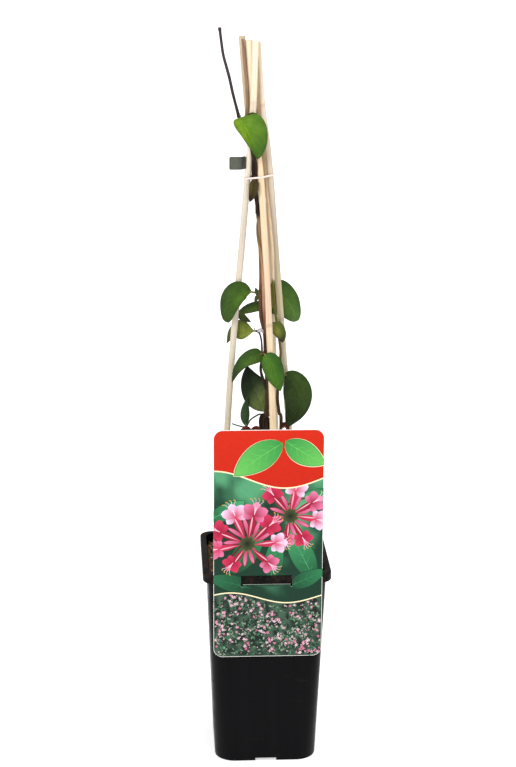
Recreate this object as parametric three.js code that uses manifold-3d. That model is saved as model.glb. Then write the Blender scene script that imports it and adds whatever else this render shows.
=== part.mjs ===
// A honeysuckle vine on four crossed canes, in a square nursery pot with a picture label.
// Millimetres, +Z up, front towards -Y. The origin is under the centre of the pot's base.
import * as THREE from "three";
import { mergeVertices } from "three/addons/utils/BufferGeometryUtils.js";
import Module from "manifold-3d";

const wasm = await Module();
wasm.setup();

// ---------------------------------------------------------------- driving dimensions
const CLEARANCE = 0.3; // gap that touching pieces keep
const OVERRUN = 1; // how far a cutting solid runs past what it cuts

const POT = {
  height: 184,
  rimHalf: 56.5, // outer edge of the lip, in plan
  rimCorner: 11,
  lipHeight: 8,
  lipWall: 52.3, // outer half-width of the wall just under the lip
  baseHalf: 45.5,
  baseCorner: 18,
  edge: 0.8, // rounding of the foot's and the lip's outer edges
  lipSlope: 2, // how far the lip's underside slopes down to the wall
  wall: 1.3,
  footHeight: 2.8,
  footWall: 2.4,
  floor: 1.5,
  notchWidth: 19,
  drains: 8,
  drainRadius: 4,
  drainRing: 24, // distance of the drain holes from the middle
  padRadius: 9,
};
// The compost's top, the height of its mound and waves, and how far in its surface rings lie.
const SOIL = { top: 176, edgeDrop: 1, mound: 0.7, wave: 0.56, rings: [0.93, 0.72, 0.5, 0.27] };
const CANE = { radius: 2.8, sides: 10, steps: 24 };
const LABEL = {
  width: 95,
  bottom: 108,
  top: 317,
  thickness: 0.7,
  corner: 8,
  slotWidth: 45,
  slotMiddle: -1,
  slotTop: POT.height + CLEARANCE,
  slotBottom: 176,
  slotEnd: 2.2, // how far the slot's ends turn down
  slotEndWidth: 1.6,
  tongueDrop: 4,
  tongueEdge: 0.28, // where the tongue bends over the rim
};
const TIE = { level: 525, height: 1.7, thickness: 0.8, lowX: -20, low: 523.6, highX: 6, high: 526.2 };
const TIE_GAP = 0.4; // between the tie and a cane
const TIE_STEPS = 32;
const TIE_TAIL = { length: 4, x: -21.6, y: -4.2, drop: 0.3, pitch: 12, yaw: 20 };
const TAPE = { left: -33, right: -9.3, bottom: 530.5, top: 541.5, thickness: 0.9, y: 0.8, corner: 1.5 };
const LEAF = {
  thickness: 0.7,
  rows: 8,
  columns: 4,
  droop: 0.12,
  first: 0.025, // first and last row along the blade, as a share of its length
  last: 0.985,
  narrowest: 0.06, // least width, as a share of the half-width
};
const STALK = { reach: 0.14, start: 0.95, end: 0.6, sides: 6, steps: 4 };
const STEM = { sides: 7, stepsPerPoint: 2.2, flareFrom: 0.93 };
const CORNER_STEPS = 5; // of a quarter circle
const ROUND_SIDES = 16; // of a drain hole and the pad

// Each cane's axis, from its cut top down through the soil to its foot.
const CANES = {
  cane_left: [
    [-10.2, -2.8, 638.6], [-12, -4.6, 584], [-14.4, -3.5, 556], [-16.8, -2.5, 522],
    [-21.1, -5.3, 467], [-29.3, -11, 375], [-33.7, -15.2, 310], [-41.5, -22, 170], [-43.5, -24.5, 90],
  ],
  cane_front: [
    [-15.4, 1.4, 639], [-11.6, 1.7, 584], [-8.6, 0.5, 556], [-5, -4, 522],
    [-1.6, -10.2, 467], [3.1, -17, 375], [5.6, -22.7, 310], [9.5, -34, 170], [11, -39, 90],
  ],
  cane_right: [
    [-7.6, 3.5, 637.7], [-3.5, 2, 584], [0.1, 3, 556], [3.4, 2.5, 522],
    [7.8, 3.3, 467], [15.5, 5.4, 375], [20.9, 6.9, 310], [31, 10, 170], [36, 11.5, 90],
  ],
  cane_rear: [
    [-21.3, 3.6, 642], [-16.2, 6, 584], [-11.5, 7, 556], [-6.5, 6, 522],
    [2.1, 9.2, 467], [7.6, 16.5, 375], [10.1, 20.8, 310], [15.9, 30, 170], [18.5, 35, 90],
  ],
};

// Stems: route, then the radius at its start and end.
const MAIN_STEM = {
  route: [
    [-2, -22, 140], [-1.5, -21, 200], [-1, -17, 304], [0.3, -15.5, 333], [-1.2, -13, 372],
    [-1.9, -12, 390], [-6, -11, 405], [-6.9, -10, 419.5], [-5.5, -9.5, 440], [-6.7, -8.5, 467],
    [-8.8, -6, 497], [-10.6, -2.8, 522], [-10.6, -5.2, 536], [-12.2, -8.9, 548], [-17, -9.6, 562],
    [-24.1, -8.5, 576.5],
  ],
  radii: [2.2, 1.1],
};
const LEADER = {
  route: [
    [-24.1, -8.5, 576.5], [-27.4, -8, 585.5], [-30.8, -7.5, 597], [-32.4, -7.5, 608.5],
    [-35.3, -7, 618.5], [-37.8, -7, 630], [-40.3, -7, 650],
  ],
  radii: [1.3, 1.1],
  flare: 0.35,
};
const UPPER_SHOOT = {
  route: [
    [-17, -9.6, 562], [-19.4, -6.5, 566], [-18.8, -2, 574], [-16.9, 0.3, 586], [-17.4, 0, 604],
    [-19, -1.8, 633],
  ],
  radii: [1.2, 0.8],
};
const SIDE_SHOOT = {
  route: [
    [0, -15.2, 342], [-4.8, -14.5, 357], [-3.8, -14, 370], [-4.4, -14, 384], [-6.5, -12, 391.5],
    [-9, -11.2, 392.3],
  ],
  radii: [0.9, 0.6],
};
const TIED_SHOOT = {
  route: [[-8.7, -6.4, 494], [-8.9, -6, 508], [-9.3, -4.8, 522], [-9.2, -6.3, 535], [-11.8, -9.1, 546.5]],
  radii: [1.1, 1.0],
};
const RUNNER = {
  route: [
    [-0.5, -16.5, 317], [-5.3, -15.5, 318.5], [-9.7, -15.5, 316.5], [-14.1, -15.5, 313],
    [-17.6, -16.5, 307.5], [-22, -17.5, 307], [-27, -18.5, 309.5],
  ],
  radii: [0.8, 0.6],
};
const MAIN_STEMS = [MAIN_STEM, LEADER, UPPER_SHOOT, SIDE_SHOOT, TIED_SHOOT, RUNNER];
const SECOND_STEM = {
  route: [
    [6, 2, 140], [8, -2, 200], [13.2, -13, 304], [11.4, -13.5, 320], [10.2, -12, 336],
    [12.6, -7, 366], [12.3, -5, 378], [6.8, -4, 418], [5.4, -4, 457.5], [3.8, -3.5, 477.5],
    [2, -3, 494], [-0.7, -0.8, 522], [-1.8, -1.6, 533], [-3.9, -3.3, 548], [-7.4, -2.8, 575],
    [-6.8, -4, 611],
  ],
  radii: [1.8, 0.7],
};
const LOW_STEM = {
  route: [
    [-12, 12, 140], [-13, 13, 180], [-15, 17, 210], [-12, 22, 238], [-6, 25, 262], [-2, 27, 278],
  ],
  radii: [1.3, 0.6],
};

// Leaves: the midrib from the stem to the tip, the half-widths to each side of it, the way the
// face looks, the angle in degrees by which each half folds up, and how full the outline is.
// "bare" is the share of the midrib that is stalk, and "belly" moves the widest place along it.
const MAIN_LEAVES = {
  crown: {
    rib: [
      [-24, -8.7, 576.5], [-22, -11, 574.5], [-15.5, -14, 568.5], [-9.5, -14.5, 557.5],
      [-9.3, -11, 539],
    ],
    half: [11.5, 13.5], face: [-0.1, -1, 0.3], fold: [15, 25], full: 0.7, bare: 0.12, belly: 0.85,
  },
  below_tie: {
    rib: [[-10.5, -3.2, 519.5], [-11, -8.5, 515], [-11, -10, 506], [-8.3, -10.5, 491]],
    half: [6, 6], face: [0, -1, 0], fold: [50, 50], full: 0.8, belly: 0.9,
  },
  upper_left: {
    rib: [
      [-6.9, -10, 425], [-14, -11.5, 428], [-21, -15, 429], [-28, -18.5, 426.5],
      [-32.5, -20, 417.5], [-34.5, -18, 402],
    ],
    half: [10, 10.5], face: [-0.3, -1, 0.3], fold: [10, 10], full: 0.7, bare: 0.16, belly: 0.9,
  },
  folded_left: {
    rib: [[-9, -11, 392.2], [-16.5, -7.5, 391], [-24.2, -4, 391], [-30.2, -2.8, 386.5], [-34.2, -2, 380]],
    half: [10.5, 9.5], face: [-0.2, -1, 0.4], fold: [8, 8], full: 1.15, belly: 0.88,
  },
  lower_left: {
    rib: [[-2, -14, 373], [-13, -20, 373.5], [-21.6, -22, 367.5], [-27, -21.5, 359.5], [-30.5, -19, 348.5]],
    half: [5.5, 6], face: [-0.3, -1, 0.45], fold: [5, 5], full: 0.75, belly: 0.62,
  },
  bright_front: {
    rib: [[-1.3, -13, 371], [-1.7, -20.5, 373.5], [4.2, -25, 366.5], [8.6, -25, 353], [12, -22, 341]],
    half: [9.5, 8.5], face: [0, -1, 0.25], fold: [5, 5], full: 0.8, bare: 0.24,
  },
  dark_inner: {
    rib: [[-0.8, -15, 318], [-6, -11.5, 332], [-12, -9, 346], [-16, -9, 361]],
    half: [12, 12], face: [-0.1, -1, 0.2], fold: [5, 5], full: 0.85,
  },
  runner_leaf: {
    rib: [[-17.8, -16.5, 307], [-18.9, -16, 316], [-18.4, -15, 324], [-16.2, -13, 334]],
    half: [4.5, 4.5], face: [0, -1, 0.1], fold: [0, 0], full: 0.75,
  },
  hidden_left: {
    rib: [[-1.4, -20, 238], [-13, -28, 248], [-24, -34, 245], [-33, -37, 235]],
    half: [10, 10], face: [-0.3, -0.8, 0.6], fold: [8, 8], full: 0.85,
  },
  hidden_right: {
    rib: [[-1.4, -20, 238], [8, -20, 247], [20, -23, 246], [31, -27, 236]],
    half: [10, 10], face: [0.3, -0.8, 0.6], fold: [8, 8], full: 0.85,
  },
  upper_right: {
    rib: [[-6.7, -9.9, 422.5], [5.5, 6.5, 423.5], [17, 12, 415.5], [24, 12, 406], [28.5, 11, 394.5]],
    half: [17, 12], face: [0.3, -1, 0], fold: [5, 5], full: 0.75, bare: 0.17,
  },
};
const SECOND_LEAVES = {
  small_front: {
    rib: [[9.6, -4.6, 397], [4.5, -8, 396.5], [9, -10, 394.5], [13, -9, 388], [13.7, -8, 378.5]],
    half: [6.5, 6.5], face: [0.2, -1, 0.3], fold: [0, 0], full: 0.7, bare: 0.2,
  },
  hidden_side: {
    rib: [[11.2, -8, 262], [20, -8, 272], [30, -10, 269], [38, -13, 258]],
    half: [10, 10], face: [0.3, -0.8, 0.6], fold: [8, 8], full: 0.85,
  },
  large_right: {
    rib: [
      [11.4, -9.6, 351], [17, -6.5, 352.5], [25, -6.5, 346], [29, -9, 334], [27, -9, 319],
      [20.4, -6, 303],
    ],
    half: [13, 13], face: [0.2, -1, 0.3], fold: [8, 5], full: 0.8, bare: 0.18,
  },
  narrow_left: {
    rib: [[7.3, -4, 413], [0, -5.6, 414], [-9, -6.6, 413.2], [-17, -8.2, 411], [-22.6, -9.8, 408]],
    half: [5.5, 5.5], face: [0, -1, 0.05], fold: [3, 3], full: 0.8, bare: 0.1, belly: 0.65,
  },
  narrow_tip: {
    rib: [[-20.5, -9.2, 409.4], [-18, -7.4, 404], [-12.6, -6.5, 399]],
    half: [3.8, 3.5], face: [0, -1, 0.3], fold: [0, 0], full: 0.8, bare: 0,
  },
};
const LOW_LEAVES = {
  low_left: {
    rib: [[-14, 19, 222], [-24, 25, 233], [-33, 29, 232], [-40, 31, 222]],
    half: [9, 9], face: [-0.4, 0.7, 0.7], fold: [8, 8], full: 0.85,
  },
  low_right: {
    rib: [[-14, 19, 222], [-4, 30, 232], [6, 38, 229], [14, 43, 219]],
    half: [9.5, 9.5], face: [0.3, 0.7, 0.7], fold: [8, 8], full: 0.85,
  },
  middle_left: {
    rib: [[-6, 25, 262], [-15, 29, 270], [-23, 32, 267], [-29, 33, 258]],
    half: [8, 8], face: [-0.3, 0.7, 0.7], fold: [8, 8], full: 0.85,
  },
  middle_right: {
    rib: [[-6, 25, 262], [3, 33, 268], [12, 38, 263], [18, 40, 254]],
    half: [8, 8], face: [0.3, 0.7, 0.7], fold: [8, 8], full: 0.85,
  },
  top: {
    rib: [[-2, 27, 277], [-3, 31, 283], [-4, 37, 283], [-5, 43, 278]],
    half: [5.5, 5.5], face: [0, 0.7, 0.7], fold: [12, 12], full: 0.85,
  },
};

// ---------------------------------------------------------------- geometry helpers
const vector = (p) => new THREE.Vector3(...p);
const lerp = THREE.MathUtils.lerp;
const radians = THREE.MathUtils.degToRad;

/** A geometry from points and triangles, in the order that faces outwards. */
function geometryOf(points, triangles) {
  const position = new Float32Array(points.flatMap((p) => [p.x, p.y, p.z]));
  const geometry = new THREE.BufferGeometry();
  geometry.setAttribute("position", new THREE.BufferAttribute(position, 3));
  geometry.setIndex(triangles);
  return geometry;
}

/** A closed loft through rings of equal count, each running anticlockwise seen from the last one. */
function loft(rings) {
  const count = rings[0].length;
  const points = rings.flat();
  const triangles = [];
  for (let r = 0; r + 1 < rings.length; r++)
    for (let i = 0; i < count; i++) {
      const j = (i + 1) % count;
      const low = r * count;
      const high = low + count;
      triangles.push(low + i, low + j, high + j, low + i, high + j, high + i);
    }
  const middle = (ring) =>
    ring.reduce((sum, p) => sum.add(p), new THREE.Vector3()).divideScalar(count);
  const first = points.push(middle(rings[0])) - 1;
  const last = points.push(middle(rings.at(-1))) - 1;
  const end = (rings.length - 1) * count;
  for (let i = 0; i < count; i++) {
    const j = (i + 1) % count;
    triangles.push(first, j, i, last, end + i, end + j);
  }
  return geometryOf(points, triangles);
}

/** A square with round corners, in plan, at a height. */
function squareRing(half, corner, z) {
  const ring = [];
  const centre = half - corner;
  for (let side = 0; side < 4; side++)
    for (let s = 0; s <= CORNER_STEPS; s++) {
      const angle = ((side + s / CORNER_STEPS) * Math.PI) / 2;
      const cx = side === 0 || side === 3 ? centre : -centre;
      const cy = side < 2 ? centre : -centre;
      ring.push(
        new THREE.Vector3(cx + corner * Math.cos(angle), cy + corner * Math.sin(angle), z),
      );
    }
  return ring;
}

/** A round tube along a smooth curve through the points, its radius given by a function of 0..1. */
function tube(route, radiusAt, sides, steps) {
  const curve = new THREE.CatmullRomCurve3(route.map(vector), false, "catmullrom", 0.5);
  const frames = curve.computeFrenetFrames(steps, false);
  const rings = [];
  for (let s = 0; s <= steps; s++) {
    const centre = curve.getPointAt(s / steps);
    const radius = radiusAt(s / steps);
    const ring = [];
    for (let i = 0; i < sides; i++) {
      const angle = (i / sides) * 2 * Math.PI;
      const point = centre.clone();
      point.addScaledVector(frames.normals[s], radius * Math.cos(angle));
      point.addScaledVector(frames.binormals[s], radius * Math.sin(angle));
      ring.push(point);
    }
    rings.push(ring);
  }
  return loft(rings);
}

/** A closed geometry as a solid that can be joined and cut. */
function solidOf(geometry) {
  const bare = new THREE.BufferGeometry();
  bare.setAttribute("position", geometry.getAttribute("position"));
  if (geometry.index) bare.setIndex(geometry.index);
  const merged = mergeVertices(bare, 1e-4);
  return new wasm.Manifold(
    new wasm.Mesh({
      numProp: 3,
      vertProperties: merged.attributes.position.array,
      triVerts: new Uint32Array(merged.index.array),
    }),
  );
}

/** A solid back as a geometry. */
function geometryFrom(solid) {
  const mesh = solid.getMesh();
  const geometry = new THREE.BufferGeometry();
  geometry.setAttribute("position", new THREE.BufferAttribute(mesh.vertProperties, 3));
  geometry.setIndex(new THREE.BufferAttribute(mesh.triVerts, 1));
  return geometry;
}

const join = (solids) => solids.reduce((sum, solid) => sum.add(solid));
const cut = (solid, tools) => tools.reduce((rest, tool) => rest.subtract(tool), solid);

function box(x0, x1, y0, y1, z0, z1) {
  const geometry = new THREE.BoxGeometry(x1 - x0, y1 - y0, z1 - z0);
  geometry.translate((x0 + x1) / 2, (y0 + y1) / 2, (z0 + z1) / 2);
  return solidOf(geometry);
}

function cylinder(x, y, radius, z0, z1) {
  const geometry = new THREE.CylinderGeometry(radius, radius, z1 - z0, ROUND_SIDES);
  geometry.rotateX(Math.PI / 2);
  geometry.translate(x, y, (z0 + z1) / 2);
  return solidOf(geometry);
}

// ---------------------------------------------------------------- pot and soil
/** The pot's outer half-width at a height on its tapered wall. */
const wallHalf = (z) => lerp(POT.baseHalf, POT.lipWall, z / (POT.height - POT.lipHeight));
const wallCorner = (z) => lerp(POT.baseCorner, POT.rimCorner, z / (POT.height - POT.lipHeight));

/** A ring round the pot's inside at a height, shrunk by a margin. */
const insideRing = (z, margin = 0) =>
  squareRing(wallHalf(z) - POT.wall - margin, wallCorner(z) - POT.wall - margin, z);
const potInside = (bottom, top) => loft([insideRing(bottom), insideRing(top)]);

function potSolid() {
  const lipBottom = POT.height - POT.lipHeight;
  const { edge } = POT;
  const outside = loft([
    squareRing(POT.baseHalf - edge, POT.baseCorner - edge, 0),
    squareRing(POT.baseHalf, POT.baseCorner, edge * 2),
    squareRing(POT.lipWall, POT.rimCorner, lipBottom - POT.lipSlope),
    squareRing(POT.rimHalf - edge, POT.rimCorner, lipBottom),
    squareRing(POT.rimHalf, POT.rimCorner, lipBottom + edge),
    squareRing(POT.rimHalf, POT.rimCorner, POT.height - edge),
    squareRing(POT.rimHalf - edge, POT.rimCorner, POT.height),
  ]);
  const floorBottom = POT.footHeight;
  const floorTop = floorBottom + POT.floor;
  const underRing = (z) =>
    squareRing(POT.baseHalf - POT.footWall, POT.baseCorner - POT.footWall, z);
  const under = loft([underRing(-OVERRUN), underRing(floorBottom)]);
  const across = POT.rimHalf;
  const wide = POT.notchWidth / 2;
  const notches = [
    box(-across, across, -wide, wide, -OVERRUN, floorBottom),
    box(-wide, wide, -across, across, -OVERRUN, floorBottom),
  ];
  const drains = [];
  for (let i = 0; i < POT.drains; i++) {
    const angle = (i / POT.drains) * 2 * Math.PI;
    const x = POT.drainRing * Math.cos(angle);
    const y = POT.drainRing * Math.sin(angle);
    drains.push(cylinder(x, y, POT.drainRadius, floorBottom - OVERRUN, floorTop + OVERRUN));
  }
  const shell = cut(solidOf(outside), [
    solidOf(potInside(floorTop, POT.height + OVERRUN)),
    solidOf(under),
    ...notches,
    ...drains,
  ]);
  const padTop = floorTop - POT.floor / 2;
  return shell.add(cylinder(0, 0, POT.padRadius, 0, padTop));
}

/** The compost: level with the pot's wall, a little mounded and uneven on top. */
function soilGeometry() {
  const bottom = POT.footHeight + POT.floor + CLEARANCE;
  const edgeTop = SOIL.top - SOIL.edgeDrop;
  const rings = [insideRing(bottom, CLEARANCE), insideRing(edgeTop, CLEARANCE)];
  for (const scale of SOIL.rings) {
    const ring = insideRing(edgeTop, CLEARANCE).map(({ x, y }) => {
      const place = [x * scale, y * scale];
      const height = SOIL.top + SOIL.mound * (1 - scale) + SOIL.wave * wave(...place);
      return new THREE.Vector3(...place, height);
    });
    rings.push(ring);
  }
  return loft(rings);
}

/** The unevenness of the compost's top at a place, between about -1 and 1. */
function wave(x, y) {
  return Math.sin(x * 0.16 + 1) * Math.cos(y * 0.13) + 0.5 * Math.sin(x * 0.31 - y * 0.27);
}

// ---------------------------------------------------------------- canes
const caneGeometry = (route, grow = 0) =>
  tube(route, () => CANE.radius + grow, CANE.sides, CANE.steps);

// ---------------------------------------------------------------- stems and leaves
/** A stem tapers along its route, and its end may flare to a cut node. */
function stemGeometry({ route, radii, flare = 0 }, grow = 0) {
  const steps = Math.round(route.length * STEM.stepsPerPoint);
  const flareAt = (t) => flare * THREE.MathUtils.smoothstep(t, STEM.flareFrom, 1);
  const radiusAt = (t) => lerp(radii[0], radii[1], t) + flareAt(t) + grow;
  return tube(route, radiusAt, STEM.sides, steps);
}

/** How wide the blade is along its midrib: narrow at the stalk, widest below the middle. */
const blade = (t, full, belly) => Math.sin(Math.PI * t ** belly) ** full;

/** A leaf: a folded, drooping blade along its midrib, with a short stalk sunk in the stem. */
function leafSolid({ rib, half, face, fold, full, bare = 0.06, belly = 0.76 }) {
  const curve = new THREE.CatmullRomCurve3(rib.map(vector), false, "catmullrom", 0.5);
  const look = vector(face).normalize();
  const { thickness, rows, columns, droop } = LEAF;
  const top = [];
  const under = [];
  for (let r = 0; r <= rows; r++) {
    const t = lerp(LEAF.first, LEAF.last, r / rows);
    const place = lerp(bare, 1, t);
    const along = curve.getTangent(place);
    const side = along.clone().cross(look).normalize();
    const up = side.clone().cross(along);
    const width = Math.max(blade(t, full, belly), LEAF.narrowest);
    for (let c = 0; c <= columns; c++) {
      const v = (2 * c) / columns - 1;
      const span = Math.abs(v) * half[v > 0 ? 0 : 1] * width;
      const angle = radians(fold[v > 0 ? 0 : 1]);
      const lift = Math.sin(angle) * span - droop * v * v * width * Math.min(...half);
      const p = curve
        .getPoint(place)
        .addScaledVector(side, Math.sign(v) * Math.cos(angle) * span)
        .addScaledVector(up, lift);
      top.push(p.clone().addScaledVector(up, thickness / 2));
      under.push(p.clone().addScaledVector(up, -thickness / 2));
    }
  }
  const stalkEnd = lerp(bare, 1, STALK.reach);
  const stalkRoute = [0, 0.33, 0.67, 1].map((t) => curve.getPoint(t * stalkEnd).toArray());
  const stalk = tube(stalkRoute, (t) => lerp(STALK.start, STALK.end, t), STALK.sides, STALK.steps);
  return solidOf(sheetGeometry(top, under, rows, columns)).add(solidOf(stalk));
}

/** A closed sheet from two grids of points, both faces split alike. */
function sheetGeometry(top, under, rows, columns) {
  const points = [...top, ...under];
  const offset = top.length;
  const at = (r, c) => r * (columns + 1) + c;
  const triangles = [];
  const quad = (a, b, c, d) => triangles.push(a, b, c, a, c, d);
  for (let r = 0; r < rows; r++)
    for (let c = 0; c < columns; c++) {
      const [p, q, s, t] = [at(r, c), at(r, c + 1), at(r + 1, c + 1), at(r + 1, c)];
      triangles.push(p, q, s, p, s, t);
      triangles.push(offset + p, offset + s, offset + q, offset + p, offset + t, offset + s);
    }
  for (let r = 0; r < rows; r++) {
    quad(at(r, 0), at(r + 1, 0), offset + at(r + 1, 0), offset + at(r, 0));
    const [p, q] = [at(r, columns), at(r + 1, columns)];
    quad(p, offset + p, offset + q, q);
  }
  for (let c = 0; c < columns; c++) {
    quad(at(0, c), offset + at(0, c), offset + at(0, c + 1), at(0, c + 1));
    const [p, q] = [at(rows, c), at(rows, c + 1)];
    quad(p, q, offset + q, offset + p);
  }
  return geometryOf(points, triangles);
}

const vine = (stems, leaves) =>
  join([...stems.map((s) => solidOf(stemGeometry(s))), ...Object.values(leaves).map(leafSolid)]);

// ---------------------------------------------------------------- tie, tape and label
/** A cane's centre at a height. */
function caneAt(route, z) {
  const low = route.findIndex((p) => p[2] <= z);
  const [above, below] = [route[low - 1], route[low]];
  const t = (z - below[2]) / (above[2] - below[2]);
  return [lerp(below[0], above[0], t), lerp(below[1], above[1], t)];
}

/** A closed band: equal sections joined end to end. */
function closedBand(sections) {
  const count = sections[0].length;
  const triangles = [];
  for (let s = 0; s < sections.length; s++)
    for (let i = 0; i < count; i++) {
      const j = (i + 1) % count;
      const here = s * count;
      const next = ((s + 1) % sections.length) * count;
      triangles.push(here + i, next + i, next + j, here + i, next + j, here + j);
    }
  return geometryOf(sections.flat(), triangles);
}

/** The tie: a flat band round the four canes, rising to the right, with a short tail. */
function tieSolid() {
  const tiedCanes = Object.values(CANES).map((route) => caneAt(route, TIE.level));
  const inner = CANE.radius + TIE_GAP;
  const rise = (x) => lerp(TIE.low, TIE.high, (x - TIE.lowX) / (TIE.highX - TIE.lowX));
  const sections = [];
  for (let s = 0; s < TIE_STEPS; s++) {
    const angle = (s / TIE_STEPS) * 2 * Math.PI;
    const [dx, dy] = [Math.cos(angle), Math.sin(angle)];
    const reach = (p) => p[0] * dx + p[1] * dy;
    const cane = tiedCanes.reduce((best, p) => (reach(p) > reach(best) ? p : best));
    const at = (radius, up) => {
      const x = cane[0] + dx * radius;
      return new THREE.Vector3(x, cane[1] + dy * radius, rise(x) + up);
    };
    const outer = inner + TIE.thickness;
    const up = TIE.height / 2;
    sections.push([at(inner, -up), at(outer, -up), at(outer, up), at(inner, up)]);
  }
  const tail = new THREE.BoxGeometry(TIE_TAIL.length, TIE.thickness, TIE.height);
  tail.rotateY(radians(TIE_TAIL.pitch));
  tail.rotateZ(radians(TIE_TAIL.yaw));
  tail.translate(TIE_TAIL.x, TIE_TAIL.y, rise(TIE_TAIL.x) - TIE_TAIL.drop);
  return solidOf(closedBand(sections)).add(solidOf(tail));
}

/** A flat strip in an upright plane with round corners, its back towards +Y. */
function card(left, right, bottom, top, corner, thickness, hole) {
  const shape = new THREE.Shape();
  shape.moveTo(left + corner, bottom);
  shape.lineTo(right - corner, bottom);
  shape.absarc(right - corner, bottom + corner, corner, -Math.PI / 2, 0);
  shape.absarc(right - corner, top - corner, corner, 0, Math.PI / 2);
  shape.absarc(left + corner, top - corner, corner, Math.PI / 2, Math.PI);
  shape.absarc(left + corner, bottom + corner, corner, Math.PI, 1.5 * Math.PI);
  if (hole) shape.holes.push(hole);
  const geometry = new THREE.ExtrudeGeometry(shape, {
    depth: thickness,
    bevelEnabled: false,
    curveSegments: 6,
  });
  return geometry.rotateX(Math.PI / 2);
}

function tapeSolid() {
  const { left, right, bottom, top, thickness, y, corner } = TAPE;
  const strip = card(left, right, bottom, top, corner, thickness);
  return solidOf(strip.translate(0, y + thickness / 2, 0));
}

/** The picture label, whose slot's cut-out is bent back over the rim as a tongue. */
function labelSolid() {
  const { width, bottom, top, thickness, corner, slotWidth, slotMiddle } = LABEL;
  const { slotTop, slotBottom, slotEnd, slotEndWidth, tongueDrop, tongueEdge } = LABEL;
  const back = -POT.rimHalf - CLEARANCE;
  const [x0, x1] = [slotMiddle - slotWidth / 2, slotMiddle + slotWidth / 2];
  const ends = slotBottom - slotEnd;
  const slot = new THREE.Path(
    [
      [x0, slotTop],
      [x0, ends],
      [x0 + slotEndWidth, ends],
      [x0 + slotEndWidth, slotBottom],
      [x1 - slotEndWidth, slotBottom],
      [x1 - slotEndWidth, ends],
      [x1, ends],
      [x1, slotTop],
    ].map((p) => new THREE.Vector2(...p)),
  );
  const plate = card(-width / 2, width / 2, bottom, top, corner, thickness, slot);
  const inside = -(wallHalf(slotTop - tongueDrop) - POT.wall) + CLEARANCE;
  const tongue = new THREE.Shape(
    [
      [back - thickness / 2, slotTop],
      [inside, slotTop],
      [inside, slotTop - tongueDrop],
      [inside + thickness, slotTop - tongueDrop],
      [inside + thickness, slotTop + tongueEdge],
      [inside + tongueEdge, slotTop + thickness],
      [back - thickness / 2, slotTop + thickness],
    ].map((p) => new THREE.Vector2(...p)),
  );
  const length = slotWidth - 2 * CLEARANCE;
  const bent = new THREE.ExtrudeGeometry(tongue, { depth: length, bevelEnabled: false });
  bent.rotateX(Math.PI / 2);
  bent.rotateZ(Math.PI / 2);
  bent.translate(x0 + CLEARANCE, 0, 0);
  return solidOf(plate.translate(0, back, 0)).add(solidOf(bent));
}

// ---------------------------------------------------------------- assembly
const MATERIALS = {
  pot: { color: 0x1d1d1f, roughness: 0.5, metalness: 0 },
  soil: { color: 0x3b2a1e, roughness: 1, metalness: 0 },
  cane: { color: 0xe6cfa8, roughness: 0.6, metalness: 0 },
  vine: { color: 0x2f5a22, roughness: 0.5, metalness: 0 },
  tie: { color: 0xe9d3cb, roughness: 0.4, metalness: 0 },
  tape: { color: 0x4a5148, roughness: 0.5, metalness: 0 },
  label: { color: 0xd8402a, roughness: 0.35, metalness: 0 },
};

const plant = new THREE.Group();
function add(name, geometry, material) {
  const mesh = new THREE.Mesh(geometry, new THREE.MeshStandardMaterial(MATERIALS[material]));
  mesh.name = name;
  plant.add(mesh);
}

/** A hole as wide as what stands in it and its clearance, also below its foot. */
function holeSolid(geometry) {
  const lowered = geometry.clone().translate(0, 0, -CLEARANCE);
  return solidOf(geometry).add(solidOf(lowered));
}

const holes = [
  ...Object.values(CANES).map((route) => holeSolid(caneGeometry(route, CLEARANCE))),
  ...[MAIN_STEM, SECOND_STEM, LOW_STEM].map((stem) => holeSolid(stemGeometry(stem, CLEARANCE))),
];
add("pot", geometryFrom(potSolid()), "pot");
add("soil", geometryFrom(cut(solidOf(soilGeometry()), holes)), "soil");
for (const [name, route] of Object.entries(CANES)) add(name, caneGeometry(route), "cane");
add("vine_main", geometryFrom(vine(MAIN_STEMS, MAIN_LEAVES)), "vine");
add("vine_second", geometryFrom(vine([SECOND_STEM], SECOND_LEAVES)), "vine");
add("vine_low", geometryFrom(vine([LOW_STEM], LOW_LEAVES)), "vine");

add("tie_band", geometryFrom(tieSolid()), "tie");
add("tape_tie", geometryFrom(tapeSolid()), "tape");
add("label", geometryFrom(labelSolid()), "label");

export default plant;
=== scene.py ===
"""A young honeysuckle vine on four tied canes, in a square nursery pot with a picture label.

Tables and shapes are in millimetres, +Z up, front towards -Y. Mesh data is scaled to metres when it is built.
Colours in tables are display colours (0 to 255).
"""

import math
import random

import bpy
import numpy as np
from mathutils import Matrix, Vector, noise
from mathutils.geometry import delaunay_2d_cdt


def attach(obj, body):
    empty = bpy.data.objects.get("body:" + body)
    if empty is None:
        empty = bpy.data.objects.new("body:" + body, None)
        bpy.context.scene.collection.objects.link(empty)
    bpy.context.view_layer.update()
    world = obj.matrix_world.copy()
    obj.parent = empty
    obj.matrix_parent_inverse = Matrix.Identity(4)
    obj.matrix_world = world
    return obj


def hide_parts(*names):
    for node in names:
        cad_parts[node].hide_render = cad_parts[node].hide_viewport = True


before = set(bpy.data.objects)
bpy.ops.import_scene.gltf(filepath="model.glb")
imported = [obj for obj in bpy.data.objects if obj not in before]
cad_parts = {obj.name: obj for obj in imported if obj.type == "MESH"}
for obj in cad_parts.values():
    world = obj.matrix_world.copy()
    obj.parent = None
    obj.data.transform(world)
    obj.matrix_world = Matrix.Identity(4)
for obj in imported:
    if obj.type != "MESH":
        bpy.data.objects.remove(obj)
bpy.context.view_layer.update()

MM = 0.001
rng = random.Random(7)

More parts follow.
